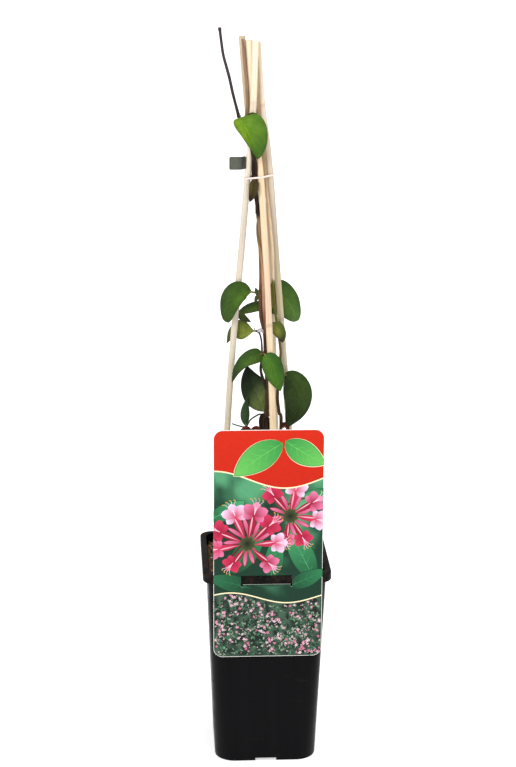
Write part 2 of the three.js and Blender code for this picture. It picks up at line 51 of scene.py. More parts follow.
# ---------------------------------------------------------------- sizes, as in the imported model
POT = {
    "height": 184,
    "rim_half": 56.5,
    "rim_corner": 11,
    "lip_height": 8,
    "lip_wall": 52.3,
    "base_half": 45.5,
    "base_corner": 18,
    "edge": 0.8,
    "lip_slope": 2,
    "wall": 1.3,
    "foot": 2.8,
    "foot_wall": 2.4,
    "floor": 1.5,
    "notch": 19,
    "drains": 8,
    "drain_radius": 4,
    "inner_bend": 3,
    "drain_ring": 24,
    "pad_radius": 9,
}
SOIL_TOP = 176
SOIL_GAP = 0.3
CANE_RADIUS = 2.8
LABEL = {
    "half": 47.5,
    "bottom": 108,
    "top": 317,
    "thickness": 0.7,
    "corner": 8,
    "front": -57.5,
    "slot_left": -23.5,
    "slot_right": 21.5,
    "slot_top": 184.3,
    "slot_bottom": 176,
    "slot_end": 2.2,
    "slot_end_width": 1.6,
    "tongue_drop": 4,
}
CARD_WHITE = (232, 230, 224)
TIE = {"level": 525, "height": 1.6, "thickness": 0.7, "gap": 0.15}
TIE_RISE = {"low_x": -20, "low": 523.6, "high_x": 6, "high": 526.2}
TAPE = {"bottom": 530.5, "top": 541.5, "thickness": 0.9}
# The tape's way seen from above, from its free end to the front of the left cane.
TAPE_ROUTE = [
    (-31.8, 0.8, 0), (-26, 0.8, 0), (-21.8, -0.6, 0.3), (-19.9, -3.2, 1), (-19.1, -4.7, 1.4),
    (-18.1, -5.5, 1.6),
]

# Each cane's axis, from its cut top down through the soil to its foot.
CANES = {
    "cane_left": [
        (-10.2, -2.8, 638.6), (-11.6, -4.6, 590), (-13.8, -3.5, 556), (-16.6, -2.5, 522),
        (-21.1, -5.3, 467), (-29.3, -11, 375), (-33.7, -15.2, 310), (-41.5, -22, 170), (-43.5, -24.5, 90),
    ],
    "cane_front": [
        (-15.4, 1.4, 639), (-11.6, 1.7, 584), (-8.6, 0.5, 556), (-5, -4, 522),
        (-1.6, -10.2, 467), (3.1, -17, 375), (5.6, -22.7, 310), (9.5, -34, 170), (11, -39, 90),
    ],
    "cane_right": [
        (-8.4, 3.5, 637.7), (-4.2, 2, 584), (-0.2, 3, 556), (3.4, 2.5, 522),
        (7.8, 3.3, 467), (15.5, 5.4, 375), (20.9, 6.9, 310), (31, 10, 170), (36, 11.5, 90),
    ],
    "cane_rear": [
        (-21.3, 3.6, 642), (-16.2, 6, 584), (-11.5, 7, 556), (-6.5, 6, 522),
        (2.1, 9.2, 467), (7.6, 16.5, 375), (10.1, 20.8, 310), (15.9, 30, 170), (18.5, 35, 90),
    ],
}

# ---------------------------------------------------------------- stem and leaf tables
# Stems: route, with radii and bark colours in even steps along it. A patch is a stretch of another colour
# from one height to another, and a flare widens a stem's end.
DARK_BARK, BLACK_BARK, BROWN_BARK, PURPLE_BARK = (50, 31, 23), (42, 30, 14), (72, 46, 34), (62, 52, 57)
OLIVE_BARK, GREEN_BARK, SLATE_BARK = (104, 90, 46), (84, 92, 48), (50, 70, 50)
MAIN_STEMS = {
    "trunk": {
        "route": [
            (-2, -22, 140), (-1.5, -21, 200), (-0.6, -17, 304), (1.2, -15.5, 333), (-0.4, -13, 372),
            (-1.2, -12, 390), (-4.4, -11, 405), (-5, -10, 419.5), (-4.7, -9.5, 440), (-5.6, -8.5, 467),
            (-7.7, -6, 497), (-10.9, -2.8, 522), (-11.4, -5.6, 536), (-12.9, -8.9, 548), (-17, -9.6, 562),
            (-24.1, -8.5, 576.5),
        ],
        "radii": (2.2, 2.2, 2.2, 2.1, 1.9, 2.1, 1.8, 1.9, 1.1),
        "bark": (
            BROWN_BARK, BROWN_BARK, BROWN_BARK, DARK_BARK, (68, 48, 28), (58, 36, 26), (104, 72, 50),
            (136, 108, 76), BLACK_BARK, BLACK_BARK,
        ),
        "patch": (491, 540, (26, 14, 7)),
    },
    "twining_shoot": {
        "route": [
            (-0.6, -13.4, 384), (-1.5, -14.8, 400), (-2.5, -15, 415), (-3.1, -13.6, 433), (-3.7, -12.2, 448),
            (-5.2, -11.6, 460), (-7.6, -9.8, 472), (-8.2, -8.2, 481), (-7.6, -6.6, 491),
        ],
        "radii": (1, 1.3, 1.4, 1.3, 1.1, 0.9),
        "bark": (
            DARK_BARK, (104, 66, 48), (166, 124, 98), (174, 134, 106), (150, 116, 84), (120, 98, 62),
            BLACK_BARK,
        ),
    },
    "leader": {
        "route": [
            (-24.1, -8.5, 576.5), (-26.6, -8, 585.5), (-29.5, -7.5, 597), (-32, -7.5, 608.5),
            (-34.8, -7, 618.5), (-37.6, -7, 630), (-40.3, -7, 650),
        ],
        "radii": (1.4, 1.2),
        "flare": 0.35,
        "bark": (BLACK_BARK, PURPLE_BARK, PURPLE_BARK),
    },
    "upper_shoot": {
        "route": [
            (-17, -9.6, 562), (-19, -6.5, 566), (-18, -2, 574), (-16.5, 0.2, 586), (-17.3, 0, 604),
            (-19.2, -0.4, 622), (-21, -1.2, 640),
        ],
        "radii": (1.4, 1.5, 1.5, 1.5, 1.4, 0.9),
        "bark": ((104, 90, 62), (146, 124, 94), (146, 122, 96), (140, 110, 90)),
    },
    "side_shoot": {
        "route": [
            (0, -15.2, 342), (-4.8, -14.5, 357), (-3.8, -14, 370), (-4.4, -14, 384), (-6.5, -12, 391.5),
            (-9, -11.2, 392.3),
        ],
        "radii": (1.7, 1.3, 1.2, 0.8, 0.7),
        "bark": ((30, 34, 20), (36, 34, 24), (72, 50, 46), (50, 42, 44)),
    },
    "tied_shoot": {
        "route": [
            (-8.7, -6.4, 494), (-8.9, -6, 508), (-9.3, -4.8, 522), (-9.2, -6.3, 535), (-11.8, -9.1, 546.5),
        ],
        "radii": (1.1, 1.0),
        "bark": (BLACK_BARK, BLACK_BARK),
    },
    "runner": {
        "route": [
            (-0.5, -16.5, 317), (-5.3, -15.5, 318.5), (-9.7, -15.5, 316.5), (-14.1, -15.5, 313),
            (-17.6, -16.5, 307.5), (-22.5, -17.5, 308.3), (-30, -18.5, 311),
        ],
        "radii": (0.8, 0.6),
        "bark": (SLATE_BARK, SLATE_BARK),
    },
}
SECOND_STEMS = {
    "second": {
        "route": [
            (6, 2, 140), (8, -2, 200), (13.2, -13, 304), (11.4, -13.5, 320), (10.2, -12, 336),
            (12.6, -7, 366), (12.3, -5, 378), (6.8, -4, 418), (5.4, -4, 457.5), (3.8, -3.5, 477.5),
            (2, -3, 494), (-0.7, -0.8, 522), (-1.6, -1.2, 533), (-3.4, -2, 548), (-7.4, -2.8, 575),
            (-7.6, -3.4, 600), (-8.6, -3.2, 632),
        ],
        "radii": (1.8, 1.8, 1.8, 1.6, 1.4, 1.1, 1.1, 1.3, 1.8, 1.7, 0.6),
        "bark": (
            BROWN_BARK, BROWN_BARK, BROWN_BARK, DARK_BARK, (78, 58, 34), OLIVE_BARK, (224, 202, 172),
            (214, 190, 158), (158, 136, 102), (162, 138, 102), (176, 150, 116),
        ),
        "patch": (398, 436, (96, 95, 32)),
    },
}
LOW_STEMS = {
    "low": {
        "route": [
            (-12, 12, 140), (-13, 13, 180), (-15, 17, 210), (-12, 22, 238), (-6, 25, 262), (-2, 27, 278),
        ],
        "radii": (1.3, 0.6),
        "bark": (BROWN_BARK, GREEN_BARK),
    },
}


def leaf(rib, half, face, colours, fold=8, full=0.85, bare=0.06, belly=0.76, foot=None):
    """A leaf: its midrib, half-width, the way its face looks, and the colours of its two halves and its tip.

    Each half folds up by an angle in degrees. A lower full makes the outline fuller, a bare share of the rib
    is stalk, and a larger belly puts the widest place nearer the tip. A foot has another colour, which fades
    out from one place to another. On some leaves these colours paint light and shade. Half, fold and belly
    may be pairs, one for each half. Full may be a pair, for the leaf's foot and tip, or such a pair for each
    half.
    """
    return {
        "rib": rib, "face": face, "colours": colours, "bare": bare, "foot": foot,
        "half": np.broadcast_to(half, 2), "fold": np.broadcast_to(fold, 2),
        "full": np.broadcast_to(full, (2, 2)), "belly": np.broadcast_to(belly, 2),
    }


MID, DEEP, DARK, BRIGHT = (58, 92, 30), (44, 72, 26), (36, 50, 20), (66, 106, 28)
# The first of these is a dark olive that paints the shade on the folded leaf below the tie.
SHADED_OLIVE, BROWN, ASH = (88, 76, 42), (50, 30, 22), (206, 198, 202)
MAIN_LEAVES = {
    # The crown's colours paint light and shade: its lighter first half is painted light, its darker tip
    # painted shade.
    "crown": leaf(
        [(-24, -8.7, 576.5), (-22.5, -11.5, 573), (-17.6, -14, 565.4), (-13, -14.5, 554), (-8.6, -11, 541)],
        (7.3, 18.2), (-0.1, -1, 0.3), ((110, 146, 30), (88, 126, 34), (56, 92, 22)),
        fold=(15, 25), full=((0.62, 1), (1.05, 0.7)), belly=(0.6, 0.96),
    ),
    # below_tie's dark olive colours are painted shade on a folded leaf.
    "below_tie": leaf(
        [(-10.3, -4.5, 523), (-11.2, -8, 518.5), (-12.5, -9.8, 512), (-15, -10.2, 504.5)],
        5.4, (0, -1, 0), (SHADED_OLIVE, (70, 60, 34), (50, 42, 24)), fold=42, full=(0.45, 0.8), belly=0.8,
    ),
    "upper_left": leaf(
        [
            (-5.9, -10, 425), (-13.5, -11.5, 427), (-20, -15, 427.5), (-26.3, -18.5, 424), (-30.8, -20, 415),
            (-34, -18, 401.5),
        ],
        (12.6, 7.2), (-0.3, -1, 0.3), ((54, 82, 26), (68, 100, 24), (52, 76, 26)),
        fold=10, full=((0.9, 0.42), (0.9, 0.5)), bare=0.18, belly=1,
    ),
    "folded_left": leaf(
        [(-9, -11, 392.2), (-16.5, -8, 391.5), (-23, -5, 390.5), (-29, -3, 387), (-34.4, -2, 378.5)],
        (10, 7.4), (-0.2, -1, 0.4), ((102, 114, 44), (114, 126, 50), (62, 70, 36)),
        full=(1.7, 1.2), bare=0.03, belly=0.8,
    ),
    "lower_left": leaf(
        [
            (-2, -14, 373), (-8, -17.5, 372.5), (-14.5, -20.5, 371), (-21.4, -22, 366.7), (-26.6, -21.5, 359),
            (-30.2, -19, 348.3),
        ],
        7, (-0.3, -1, 0.45), ((50, 78, 26), (62, 90, 28), (38, 56, 25)), fold=5, full=0.75, belly=0.5,
    ),
    "bright_front": leaf(
        [(-1.3, -13, 371), (-1.7, -20.5, 373.5), (4.2, -25, 366.5), (8.6, -25, 353), (12, -22, 341)],
        (9.5, 8.5), (0, -1, 0.25), (BRIGHT, (52, 90, 28), (62, 102, 30)), fold=5, full=0.8, bare=0.24,
    ),
    # dark_inner's near-black colours are painted shade, and its paler foot is painted light near its base.
    "dark_inner": leaf(
        [(-0.8, -15, 318), (-6, -11.5, 332), (-12, -9, 346), (-16, -9, 361)],
        (12.5, 12.8), (-0.1, -1, 0.2), ((44, 56, 30), (24, 38, 16), (11, 20, 8)),
        fold=5, full=((0.85, 1.15), (0.85, 0.7)), foot=((86, 100, 52), 0.22, 0.6),
    ),
    "runner_leaf": leaf(
        [(-17.8, -16.5, 307), (-18.9, -16, 316), (-18.4, -15, 324), (-16.2, -13, 334)],
        (4.5, 3.6), (0, -1, 0.1), ((42, 64, 40), (52, 74, 46), (36, 54, 32)), fold=0, full=0.75,
    ),
    "hidden_left": leaf(
        [(-1.4, -20, 238), (-13, -28, 248), (-24, -34, 245), (-33, -37, 235)],
        10, (-0.3, -0.8, 0.6), (DEEP, MID, DEEP),
    ),
    "hidden_right": leaf(
        [(-1.4, -20, 238), (8, -20, 247), (20, -23, 246), (31, -27, 236)],
        10, (0.3, -0.8, 0.6), (MID, DEEP, DEEP),
    ),
    "upper_right": leaf(
        [
            (-5.8, -9.9, 422.5), (3.5, 4, 423), (12, 9.5, 421), (19.7, 12, 414), (24.7, 12, 405),
            (27.6, 11, 395),
        ],
        (20, 12), (0.3, -1, 0), ((78, 106, 40), (58, 88, 30), (70, 100, 44)),
        fold=5, full=((0.4, 0.5), (0.7, 0.42)), bare=0.2, belly=0.5, foot=((130, 122, 44), 0.05, 0.3),
    ),
    "young_upper": leaf(
        [(-5.9, -10, 423.5), (-8, -11.5, 426.5), (-9.8, -12.5, 431)],
        (2.6, 2.4), (-0.2, -1, 0.2), ((84, 86, 52), (70, 78, 44), (60, 62, 40)), fold=30, full=0.7, bare=0.1,
    ),
    "young_lower": leaf(
        [(-5.9, -10, 422.5), (-8.2, -12, 422), (-10.2, -13, 418)],
        (2.4, 2.2), (-0.2, -1, 0.2), ((66, 72, 40), (82, 82, 50), (56, 56, 36)), fold=30, full=0.7, bare=0.1,
    ),
    "young_pale": leaf(
        [(-7.6, -12, 391), (-6.4, -13.5, 393.2), (-4.4, -14, 393.4), (-2.6, -14.2, 391.4)],
        (2.1, 2), (0, -1, 0.1), (ASH, (190, 182, 184), (150, 140, 142)), fold=20, full=0.6, bare=0.1,
    ),
    "withered_left": leaf(
        [(-1, -17.2, 320), (-3.2, -19, 317), (-4, -20.2, 310), (-2.6, -20.4, 301)],
        (3.2, 2.4), (-0.3, -1, 0), ((34, 26, 18), BROWN, (28, 18, 14)), fold=35, full=0.6, bare=0.08,
    ),
    "withered_right": leaf(
        [(-0.6, -17.2, 317), (1.4, -19.2, 314), (2.3, -20.2, 308), (1.6, -20.6, 300)],
        (2.2, 2.6), (0.3, -1, 0), (BROWN, (38, 28, 20), (58, 24, 20)), fold=35, full=0.6, bare=0.08,
    ),
    "withered_far": leaf(
        [(-1, -17, 304), (-10, -19.5, 304), (-17, -21, 307), (-24, -22.5, 305)],
        (2.5, 2.3), (0, -1, 0.6), ((104, 40, 28), BROWN, (84, 40, 26)), fold=40, full=0.7, bare=0.5,
    ),
    "withered_near": leaf(
        [(-1, -17, 303), (-5, -20, 305), (-9.5, -21.5, 307.5), (-14.5, -22.5, 305.5)],
        (2.6, 2.2), (0, -1, 0.6), ((108, 46, 30), BROWN, (74, 34, 24)), fold=40, full=0.7, bare=0.3,
    ),
    # A small dark leaf, put in to paint the shadow along the crown leaf's top edge.
    "shadow_leaf_top": leaf(
        [(-17, -9.6, 562), (-16.5, -9.5, 574), (-12, -9.5, 577), (-5.5, -9.2, 572.5)],
        (2.8, 3.4), (0, -1, 0.2), ((58, 52, 22), (70, 64, 28), (52, 44, 20)), fold=20, full=0.6, bare=0.35,
    ),
}
SECOND_LEAVES = {
    "withered_side": leaf(
        [(13.2, -13.2, 302), (15, -15, 308), (17.5, -16.5, 308), (21, -17.5, 302)],
        (3, 2.6), (0.2, -1, 0.4), ((86, 44, 30), BROWN, (74, 32, 24)), fold=35, full=0.7, bare=0.15,
    ),
    "small_front": leaf(
        [
            (9.6, -4.6, 397), (6, -7, 398.5), (7.2, -9.5, 397), (11, -10, 393.5), (14, -9, 387),
            (14.4, -8, 381),
        ],
        (7, 5.5), (0.2, -1, 0.3), ((108, 112, 40), (76, 92, 36), (44, 50, 24)),
        fold=0, full=0.65, bare=0.25, belly=0.7,
    ),
    "hidden_side": leaf(
        [(11.2, -8, 262), (20, -8, 272), (30, -10, 269), (38, -13, 258)],
        10, (0.3, -0.8, 0.6), (MID, DEEP, DEEP),
    ),
    "large_right": leaf(
        [
            (11.4, -9.6, 351), (17, -6.5, 351.5), (24.6, -6.5, 344.5), (29.2, -9, 332.5), (27, -9, 318),
            (19.4, -6, 303),
        ],
        (14, 12.6), (0.2, -1, 0.3), ((41, 58, 22), (50, 72, 26), DARK),
        fold=(8, 5), full=((0.85, 0.62), (0.85, 0.9)), bare=0.18, belly=(0.92, 0.84),
    ),
    "narrow_left": leaf(
        [
            (7.3, -4, 413), (0, -5.6, 413.5), (-9, -6.6, 412.6), (-17, -8.2, 410.5), (-22.5, -9.6, 408.4),
            (-28, -10.8, 406),
        ],
        (4.9, 4.3), (0, -1, 0.05), ((50, 72, 28), (64, 86, 32), (68, 82, 30)),
        fold=3, full=(0.8, 0.9), bare=0.1, belly=0.6,
    ),
    "narrow_tip": leaf(
        [(-23.5, -9.6, 408.4), (-19.4, -7.6, 404.2), (-12.8, -6.5, 399)],
        (4.2, 2.2), (0, -1, 0.3), ((50, 66, 30), (58, 74, 34), (44, 52, 28)), fold=0, full=(0.8, 0.9), bare=0,
    ),
}
LOW_LEAVES = {
    "low_left": leaf(
        [(-14, 19, 222), (-24, 25, 233), (-33, 29, 232), (-40, 31, 222)],
        9, (-0.4, 0.7, 0.7), (MID, DEEP, MID),
    ),
    "low_right": leaf(
        [(-14, 19, 222), (-4, 30, 232), (6, 38, 229), (14, 43, 219)],
        9.5, (0.3, 0.7, 0.7), (MID, BRIGHT, MID),
    ),
    "middle_left": leaf(
        [(-6, 25, 262), (-15, 29, 270), (-23, 32, 267), (-29, 33, 258)],
        8, (-0.3, 0.7, 0.7), (MID, MID, DEEP),
    ),
    "middle_right": leaf(
        [(-6, 25, 262), (3, 33, 268), (12, 38, 263), (18, 40, 254)],
        8, (0.3, 0.7, 0.7), (BRIGHT, MID, MID),
    ),
    "top": leaf(
        [(-2, 27, 277), (-3, 31, 283), (-4, 37, 283), (-5, 43, 278)],
        5.5, (0, 0.7, 0.7), (BRIGHT, MID, BRIGHT), fold=12,
    ),
}


# ---------------------------------------------------------------- small helpers
def linear(colour):
    """An 0 to 255 display colour as linear light."""
    c = np.asarray(colour, float) / 255
    return np.where(c <= 0.04045, c / 12.92, ((c + 0.055) / 1.055) ** 2.4)


def rgba(colour):
    return (*linear(colour), 1)


def lerp(a, b, t):
    return a + (b - a) * t


def smooth(low, high, x):
    """0 below low, 1 above high, and a soft step between."""
    t = np.clip((np.asarray(x, float) - low) / (high - low), 0, 1)
    return t * t * (3 - 2 * t)


def bump(x, middle, length):
    """1 at the middle, and soft down to 0 on both sides of it."""
    return np.exp(-(((x - middle) / length) ** 2))


def unit(v):
    v = np.asarray(v, float)
    return v / np.linalg.norm(v, axis=-1, keepdims=True)


def turns(count):
    """Angles in even steps, once round."""
    return np.linspace(0, 2 * np.pi, count, endpoint=False)


def disc(turn, reach, height):
    """Points round the Z axis at a height."""
    return np.column_stack([np.cos(turn) * reach, np.sin(turn) * reach, np.full(len(turn), height)])


def ripple(turn, along, reach, pitch, seed):
    """Noise for each row and side of a tube."""
    return np.array([
        [noise.noise(Vector((reach * math.cos(a), reach * math.sin(a), s * pitch + seed))) for a in turn]
        for s in along
    ])


def tints_along(t, colours, end=1.0):
    """Linear colours at places t, blended from display colours in even steps from 0 to the end."""
    shades = np.array([linear(colour) for colour in colours])
    stops = np.linspace(0, end, len(shades))
    return np.column_stack([np.interp(t, stops, shades[:, k]) for k in range(3)])


def catmull(points, t):
    """Points of the smooth curve through the given points, at t from 0 to 1."""
    p = np.asarray(points, float)
    last = len(p) - 1
    p = np.vstack([2 * p[0] - p[1], p, 2 * p[-1] - p[-2]])
    place = np.clip(np.atleast_1d(t), 0, 1) * last
    i = np.minimum(place.astype(int), last - 1)
    w = (place - i)[:, None]
    a, b, c, d = p[i], p[i + 1], p[i + 2], p[i + 3]
    return 0.5 * (2 * b + (c - a) * w + (2 * a - 5 * b + 4 * c - d) * w**2 + (3 * b - a - 3 * c + d) * w**3)


def even_path(points, step):
    """The smooth curve through the points, in even steps, with each point's distance along it."""
    fine = catmull(points, np.linspace(0, 1, 60 * len(points)))
    run = np.concatenate([[0], np.cumsum(np.linalg.norm(np.diff(fine, axis=0), axis=1))])
    along = np.linspace(0, run[-1], max(4, round(run[-1] / step)) + 1)
    return np.column_stack([np.interp(along, run, fine[:, k]) for k in range(3)]), along


def path_frames(path):
    """Two directions across the path at each of its points, that turn as little as possible."""
    tangents = unit(np.gradient(path, axis=0))
    across = np.cross(tangents[0], (0, 1, 0) if abs(tangents[0][1]) < 0.9 else (1, 0, 0))
    first = []
    for tangent in tangents:
        across = unit(across - tangent * np.dot(across, tangent))
        first.append(across)
    first = np.array(first)
    return first, np.cross(tangents, first)


def put_in_scene(name, data):
    """A new object with a mesh, lamp or lens."""
    thing = bpy.data.objects.new(name, data)
    bpy.context.scene.collection.objects.link(thing)
    return thing


class Piece:
    """Collects closed shapes into one mesh, with a material and named vectors for each point."""

    def __init__(self, *materials):
        self.materials = materials
        self.points, self.faces, self.slots, self.vectors = [], [], [], []
        self.count = 0

    def add(self, points, faces, material=0, **vectors):
        """Adds a shape. The material is one number, or one for each face."""
        points = np.asarray(points, float)
        self.points.append(points)
        self.faces += [tuple(i + self.count for i in face) for face in faces]
        self.slots += [material] * len(faces) if np.isscalar(material) else list(material)
        self.vectors.append((len(points), vectors))
        self.count += len(points)

    def build(self, name, slot, *replaced, sharp=50):
        """Makes the object, which rides on the root and replaces the CAD nodes named."""
        mesh = bpy.data.meshes.new(name)
        mesh.from_pydata((np.vstack(self.points) * MM).tolist(), [], self.faces)
        for material in self.materials:
            mesh.materials.append(material)
        mesh.polygons.foreach_set("material_index", self.slots)
        for key in sorted({key for _, vectors in self.vectors for key in vectors}):
            rows = [np.broadcast_to(v.get(key, (0, 0, 0)), (n, 3)) for n, v in self.vectors]
            layer = mesh.attributes.new(key, "FLOAT_VECTOR", "POINT")
            layer.data.foreach_set("vector", np.vstack(rows).astype(np.float32).ravel())
        mesh.polygons.foreach_set("use_smooth", [True] * len(mesh.polygons))
        mesh.set_sharp_from_angle(angle=math.radians(sharp))
        piece = put_in_scene(name, mesh)
        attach(piece, "root")
        if replaced:
            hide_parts(*replaced)
        return piece


def bridge(rows, around, caps=True):
    """Faces of a tube of rows of points, each row a ring, with a middle point for each end when capped."""
    faces = []
    first, end = rows * around, (rows - 1) * around
    sides = [(i, (i + 1) % around) for i in range(around)]
    for low in range(0, end, around):
        high = low + around
        faces += [(low + i, low + j, high + j, high + i) for i, j in sides]
    if caps:
        for i, j in sides:
            faces += [(first, j, i), (first + 1, end + i, end + j)]
    return faces


def rings_with_caps(rings):
    """Points of rings (rows, around, 3) followed by the middle of the first and the last ring."""
    rings = np.asarray(rings)
    return np.vstack([rings.reshape(-1, 3), rings[0].mean(axis=0), rings[-1].mean(axis=0)])


def capped(values):
    """Values for a tube's points, with the first and the last again for its ends' middles."""
    return np.vstack([values, values[:1], values[-1:]])


def tube(path, radius, sides):
    """Points and faces of a closed tube. The radius is one value, one a row, or one a row and side."""
    first, second = path_frames(path)
    angle = turns(sides)
    radius = np.asarray(radius, float)
    radius = np.broadcast_to(radius if radius.ndim == 2 else radius.reshape(-1, 1), (len(path), sides))
    out = np.cos(angle)[None, :, None] * first[:, None] + np.sin(angle)[None, :, None] * second[:, None]
    return rings_with_caps(path[:, None] + out * radius[..., None]), bridge(len(path), sides)


# ---------------------------------------------------------------- shader helpers
class Shader:
    """A material's node tree, with short calls for the nodes that the finishes here are made of."""

    def __init__(self, name, roughness=0.5, **sockets):
        self.material = bpy.data.materials.new(name)
        self.material.use_nodes = True
        self.nodes = self.material.node_tree.nodes
        self.links = self.material.node_tree.links
        self.surface = self.nodes["Principled BSDF"]
        self.surface.inputs["Roughness"].default_value = roughness
        for key, value in sockets.items():
            self.surface.inputs[key.replace("_", " ").title().replace("Ior", "IOR")].default_value = value

    def put(self, socket, value):
        """Links a node's output, or sets a value. Three numbers for a colour are a display colour."""
        if isinstance(value, bpy.types.NodeSocket):
            self.links.new(value, socket)
        else:
            socket.default_value = rgba(value) if socket.type == "RGBA" and len(value) == 3 else value

    def node(self, kind, inputs=(), **settings):
        """A new node with its settings, and a link or a value for each input named."""
        node = self.nodes.new("ShaderNode" + kind)
        for key, value in settings.items():
            setattr(node, key, value)
        for key, value in dict(inputs).items():
            self.put(node.inputs[key], value)
        return node

    def vector(self, name):
        return self.node("Attribute", attribute_name=name).outputs["Vector"]

    def colour(self, name):
        return self.node("Attribute", attribute_name=name).outputs["Color"]

    def object_place(self):
        return self.node("TexCoord").outputs["Object"]

    def split(self, vector):
        return self.node("SeparateXYZ", {0: vector}).outputs

    def stretch(self, vector, scale):
        return self.node("VectorMath", {0: vector, 1: scale}, operation="MULTIPLY").outputs[0]

    def noise(self, vector, scale, detail=4, roughness=0.55):
        inputs = {"Vector": vector, "Scale": scale, "Detail": detail, "Roughness": roughness}
        return self.node("TexNoise", inputs).outputs["Fac"]

    def cells(self, vector, scale, feature="F1"):
        node = self.node("TexVoronoi", {"Vector": vector, "Scale": scale}, feature=feature)
        return node.outputs["Distance"]

    def math(self, operation, a, b=0.0):
        return self.node("Math", {0: a, 1: b}, operation=operation).outputs[0]

    def times(self, a, b):
        return self.math("MULTIPLY", a, b)

    def plus(self, a, b):
        return self.math("ADD", a, b)

    def span(self, value, low, high, to_low=0.0, to_high=1.0):
        """A value's place between low and high, as a place between two others, and no further."""
        inputs = {"Value": value, "From Min": low, "From Max": high, "To Min": to_low, "To Max": to_high}
        return self.node("MapRange", inputs).outputs[0]

    def mix(self, factor, a, b, blend="MIX"):
        """Two colours mixed or multiplied by a share."""
        node = self.node("Mix", data_type="RGBA", blend_type=blend)
        for index, value in ((0, factor), (6, a), (7, b)):
            self.put(node.inputs[index], value)
        return node.outputs[2]

    def shade(self, colour, value, low, high):
        """A colour made darker and lighter by a pattern from 0 to 1."""
        grey = self.node("CombineXYZ", {k: self.span(value, 0.25, 0.75, low, high) for k in range(3)})
        return self.mix(1.0, colour, grey.outputs[0], "MULTIPLY")

    def relief(self, height, depth, normal=None):
        """Bumps of a depth in millimetres."""
        inputs = {"Height": height, "Distance": depth * MM, "Strength": 1.0}
        if normal:
            inputs["Normal"] = normal
        return self.node("Bump", inputs).outputs[0]

    def finish(self, colour, roughness=None, normal=None):
        """Gives the surface its colour, and its roughness and relief where they vary."""
        for socket, value in (("Base Color", colour), ("Roughness", roughness), ("Normal", normal)):
            if value is not None:
                self.put(self.surface.inputs[socket], value)
        return self.material


# ---------------------------------------------------------------- finishes
def leaf_material(name, under):
    """A leaf's face or underside: vein lines from leaf_place (along, across, vein number), and a fine net."""
    s = Shader(name, specular_ior_level=0.12)
    _, across, vein_number = s.split(s.vector("leaf_place"))
    place = s.vector("leaf_mm")
    edge = s.math("ABSOLUTE", across)
    midrib = s.span(edge, 0.0, 0.055, 1.0, 0.0)
    side_vein = s.span(s.math("PINGPONG", vein_number, 0.5), 0.0, 0.085, 1.0, 0.0)
    side_vein = s.times(side_vein, s.span(edge, 0.25, 0.95, 0.75, 0.0))
    veins = s.math("MAXIMUM", midrib, side_vein)
    net = s.cells(place, 0.9, "DISTANCE_TO_EDGE")
    net_line = s.span(net, 0.0, 0.09, 1.0, 0.0)
    # The leaves' own colours, which on some leaves also paint light and shade.
    colour = s.shade(s.colour("leaf_tint"), s.noise(place, 0.16, 3), 0.78, 1.2)
    colour = s.shade(colour, s.noise(place, 1.3, 5), 0.9, 1.1)
    pale = s.mix(1.0, colour, (1.9, 1.75, 1.5, 1), "MULTIPLY")
    colour = s.mix(s.times(net_line, 0.14), colour, pale)
    colour = s.mix(s.times(veins, 0.6), colour, pale)
    # Painted shade: the blade darkens towards its edges.
    colour = s.mix(s.span(edge, 0.55, 1.0, 0.0, 0.34), colour, (22, 40, 24))
    colour = s.mix(s.span(edge, 0.95, 1.0, 0.0, 0.5), colour, (66, 58, 30))
    height = s.times(net_line, 0.35 if under else -0.35)
    height = s.plus(height, s.times(veins, 0.8 if under else -0.6))
    height = s.plus(height, s.times(s.noise(place, 2.4, 3), 0.3))
    rough = s.span(s.noise(place, 0.8, 3), 0.3, 0.7, *((0.6, 0.74) if under else (0.42, 0.56)))
    if under:
        colour = s.mix(0.3, colour, (138, 158, 104))
    return s.finish(colour, rough, s.relief(height, 0.16))


def stalk_material():
    """A leaf's stalk: green with red-brown streaks."""
    s = Shader("leaf_stalk", 0.5)
    place = s.vector("leaf_mm")
    colour = s.mix(s.noise(place, 0.5, 3), (112, 120, 58), (122, 66, 52))
    return s.finish(colour, normal=s.relief(s.noise(place, 3, 3), 0.08))


def bark_material():
    """Stem bark: long thin strips and cracks along the stem, whose place is (round x, round y, along)."""
    s = Shader("bark", specular_ior_level=0.16)
    place = s.vector("stem_mm")
    strips = s.noise(s.stretch(place, (1.6, 1.6, 0.12)), 1.0, 6, 0.65)
    flecks = s.noise(s.stretch(place, (1, 1, 0.5)), 1.4, 4)
    colour = s.shade(s.colour("stem_tint"), strips, 0.55, 1.5)
    pale = s.times(s.span(flecks, 0.56, 0.7), s.span(strips, 0.5, 0.62))
    colour = s.mix(s.times(pale, 0.45), colour, (158, 132, 104))
    rough = s.span(strips, 0.3, 0.7, 0.72, 0.48)
    return s.finish(colour, rough, s.relief(s.plus(strips, s.times(flecks, 0.4)), 0.35))


def bud_material():
    """A bud's scales, brown at the foot and grey-green at the tip."""
    s = Shader("bud", 0.55)
    place = s.vector("stem_mm")
    colour = s.mix(s.span(s.split(place)[2], 0.0, 4.0), (120, 104, 84), (112, 124, 92))
    colour = s.shade(colour, s.noise(place, 1.8, 4), 0.7, 1.3)
    return s.finish(colour, normal=s.relief(s.noise(place, 2.5, 4), 0.2))


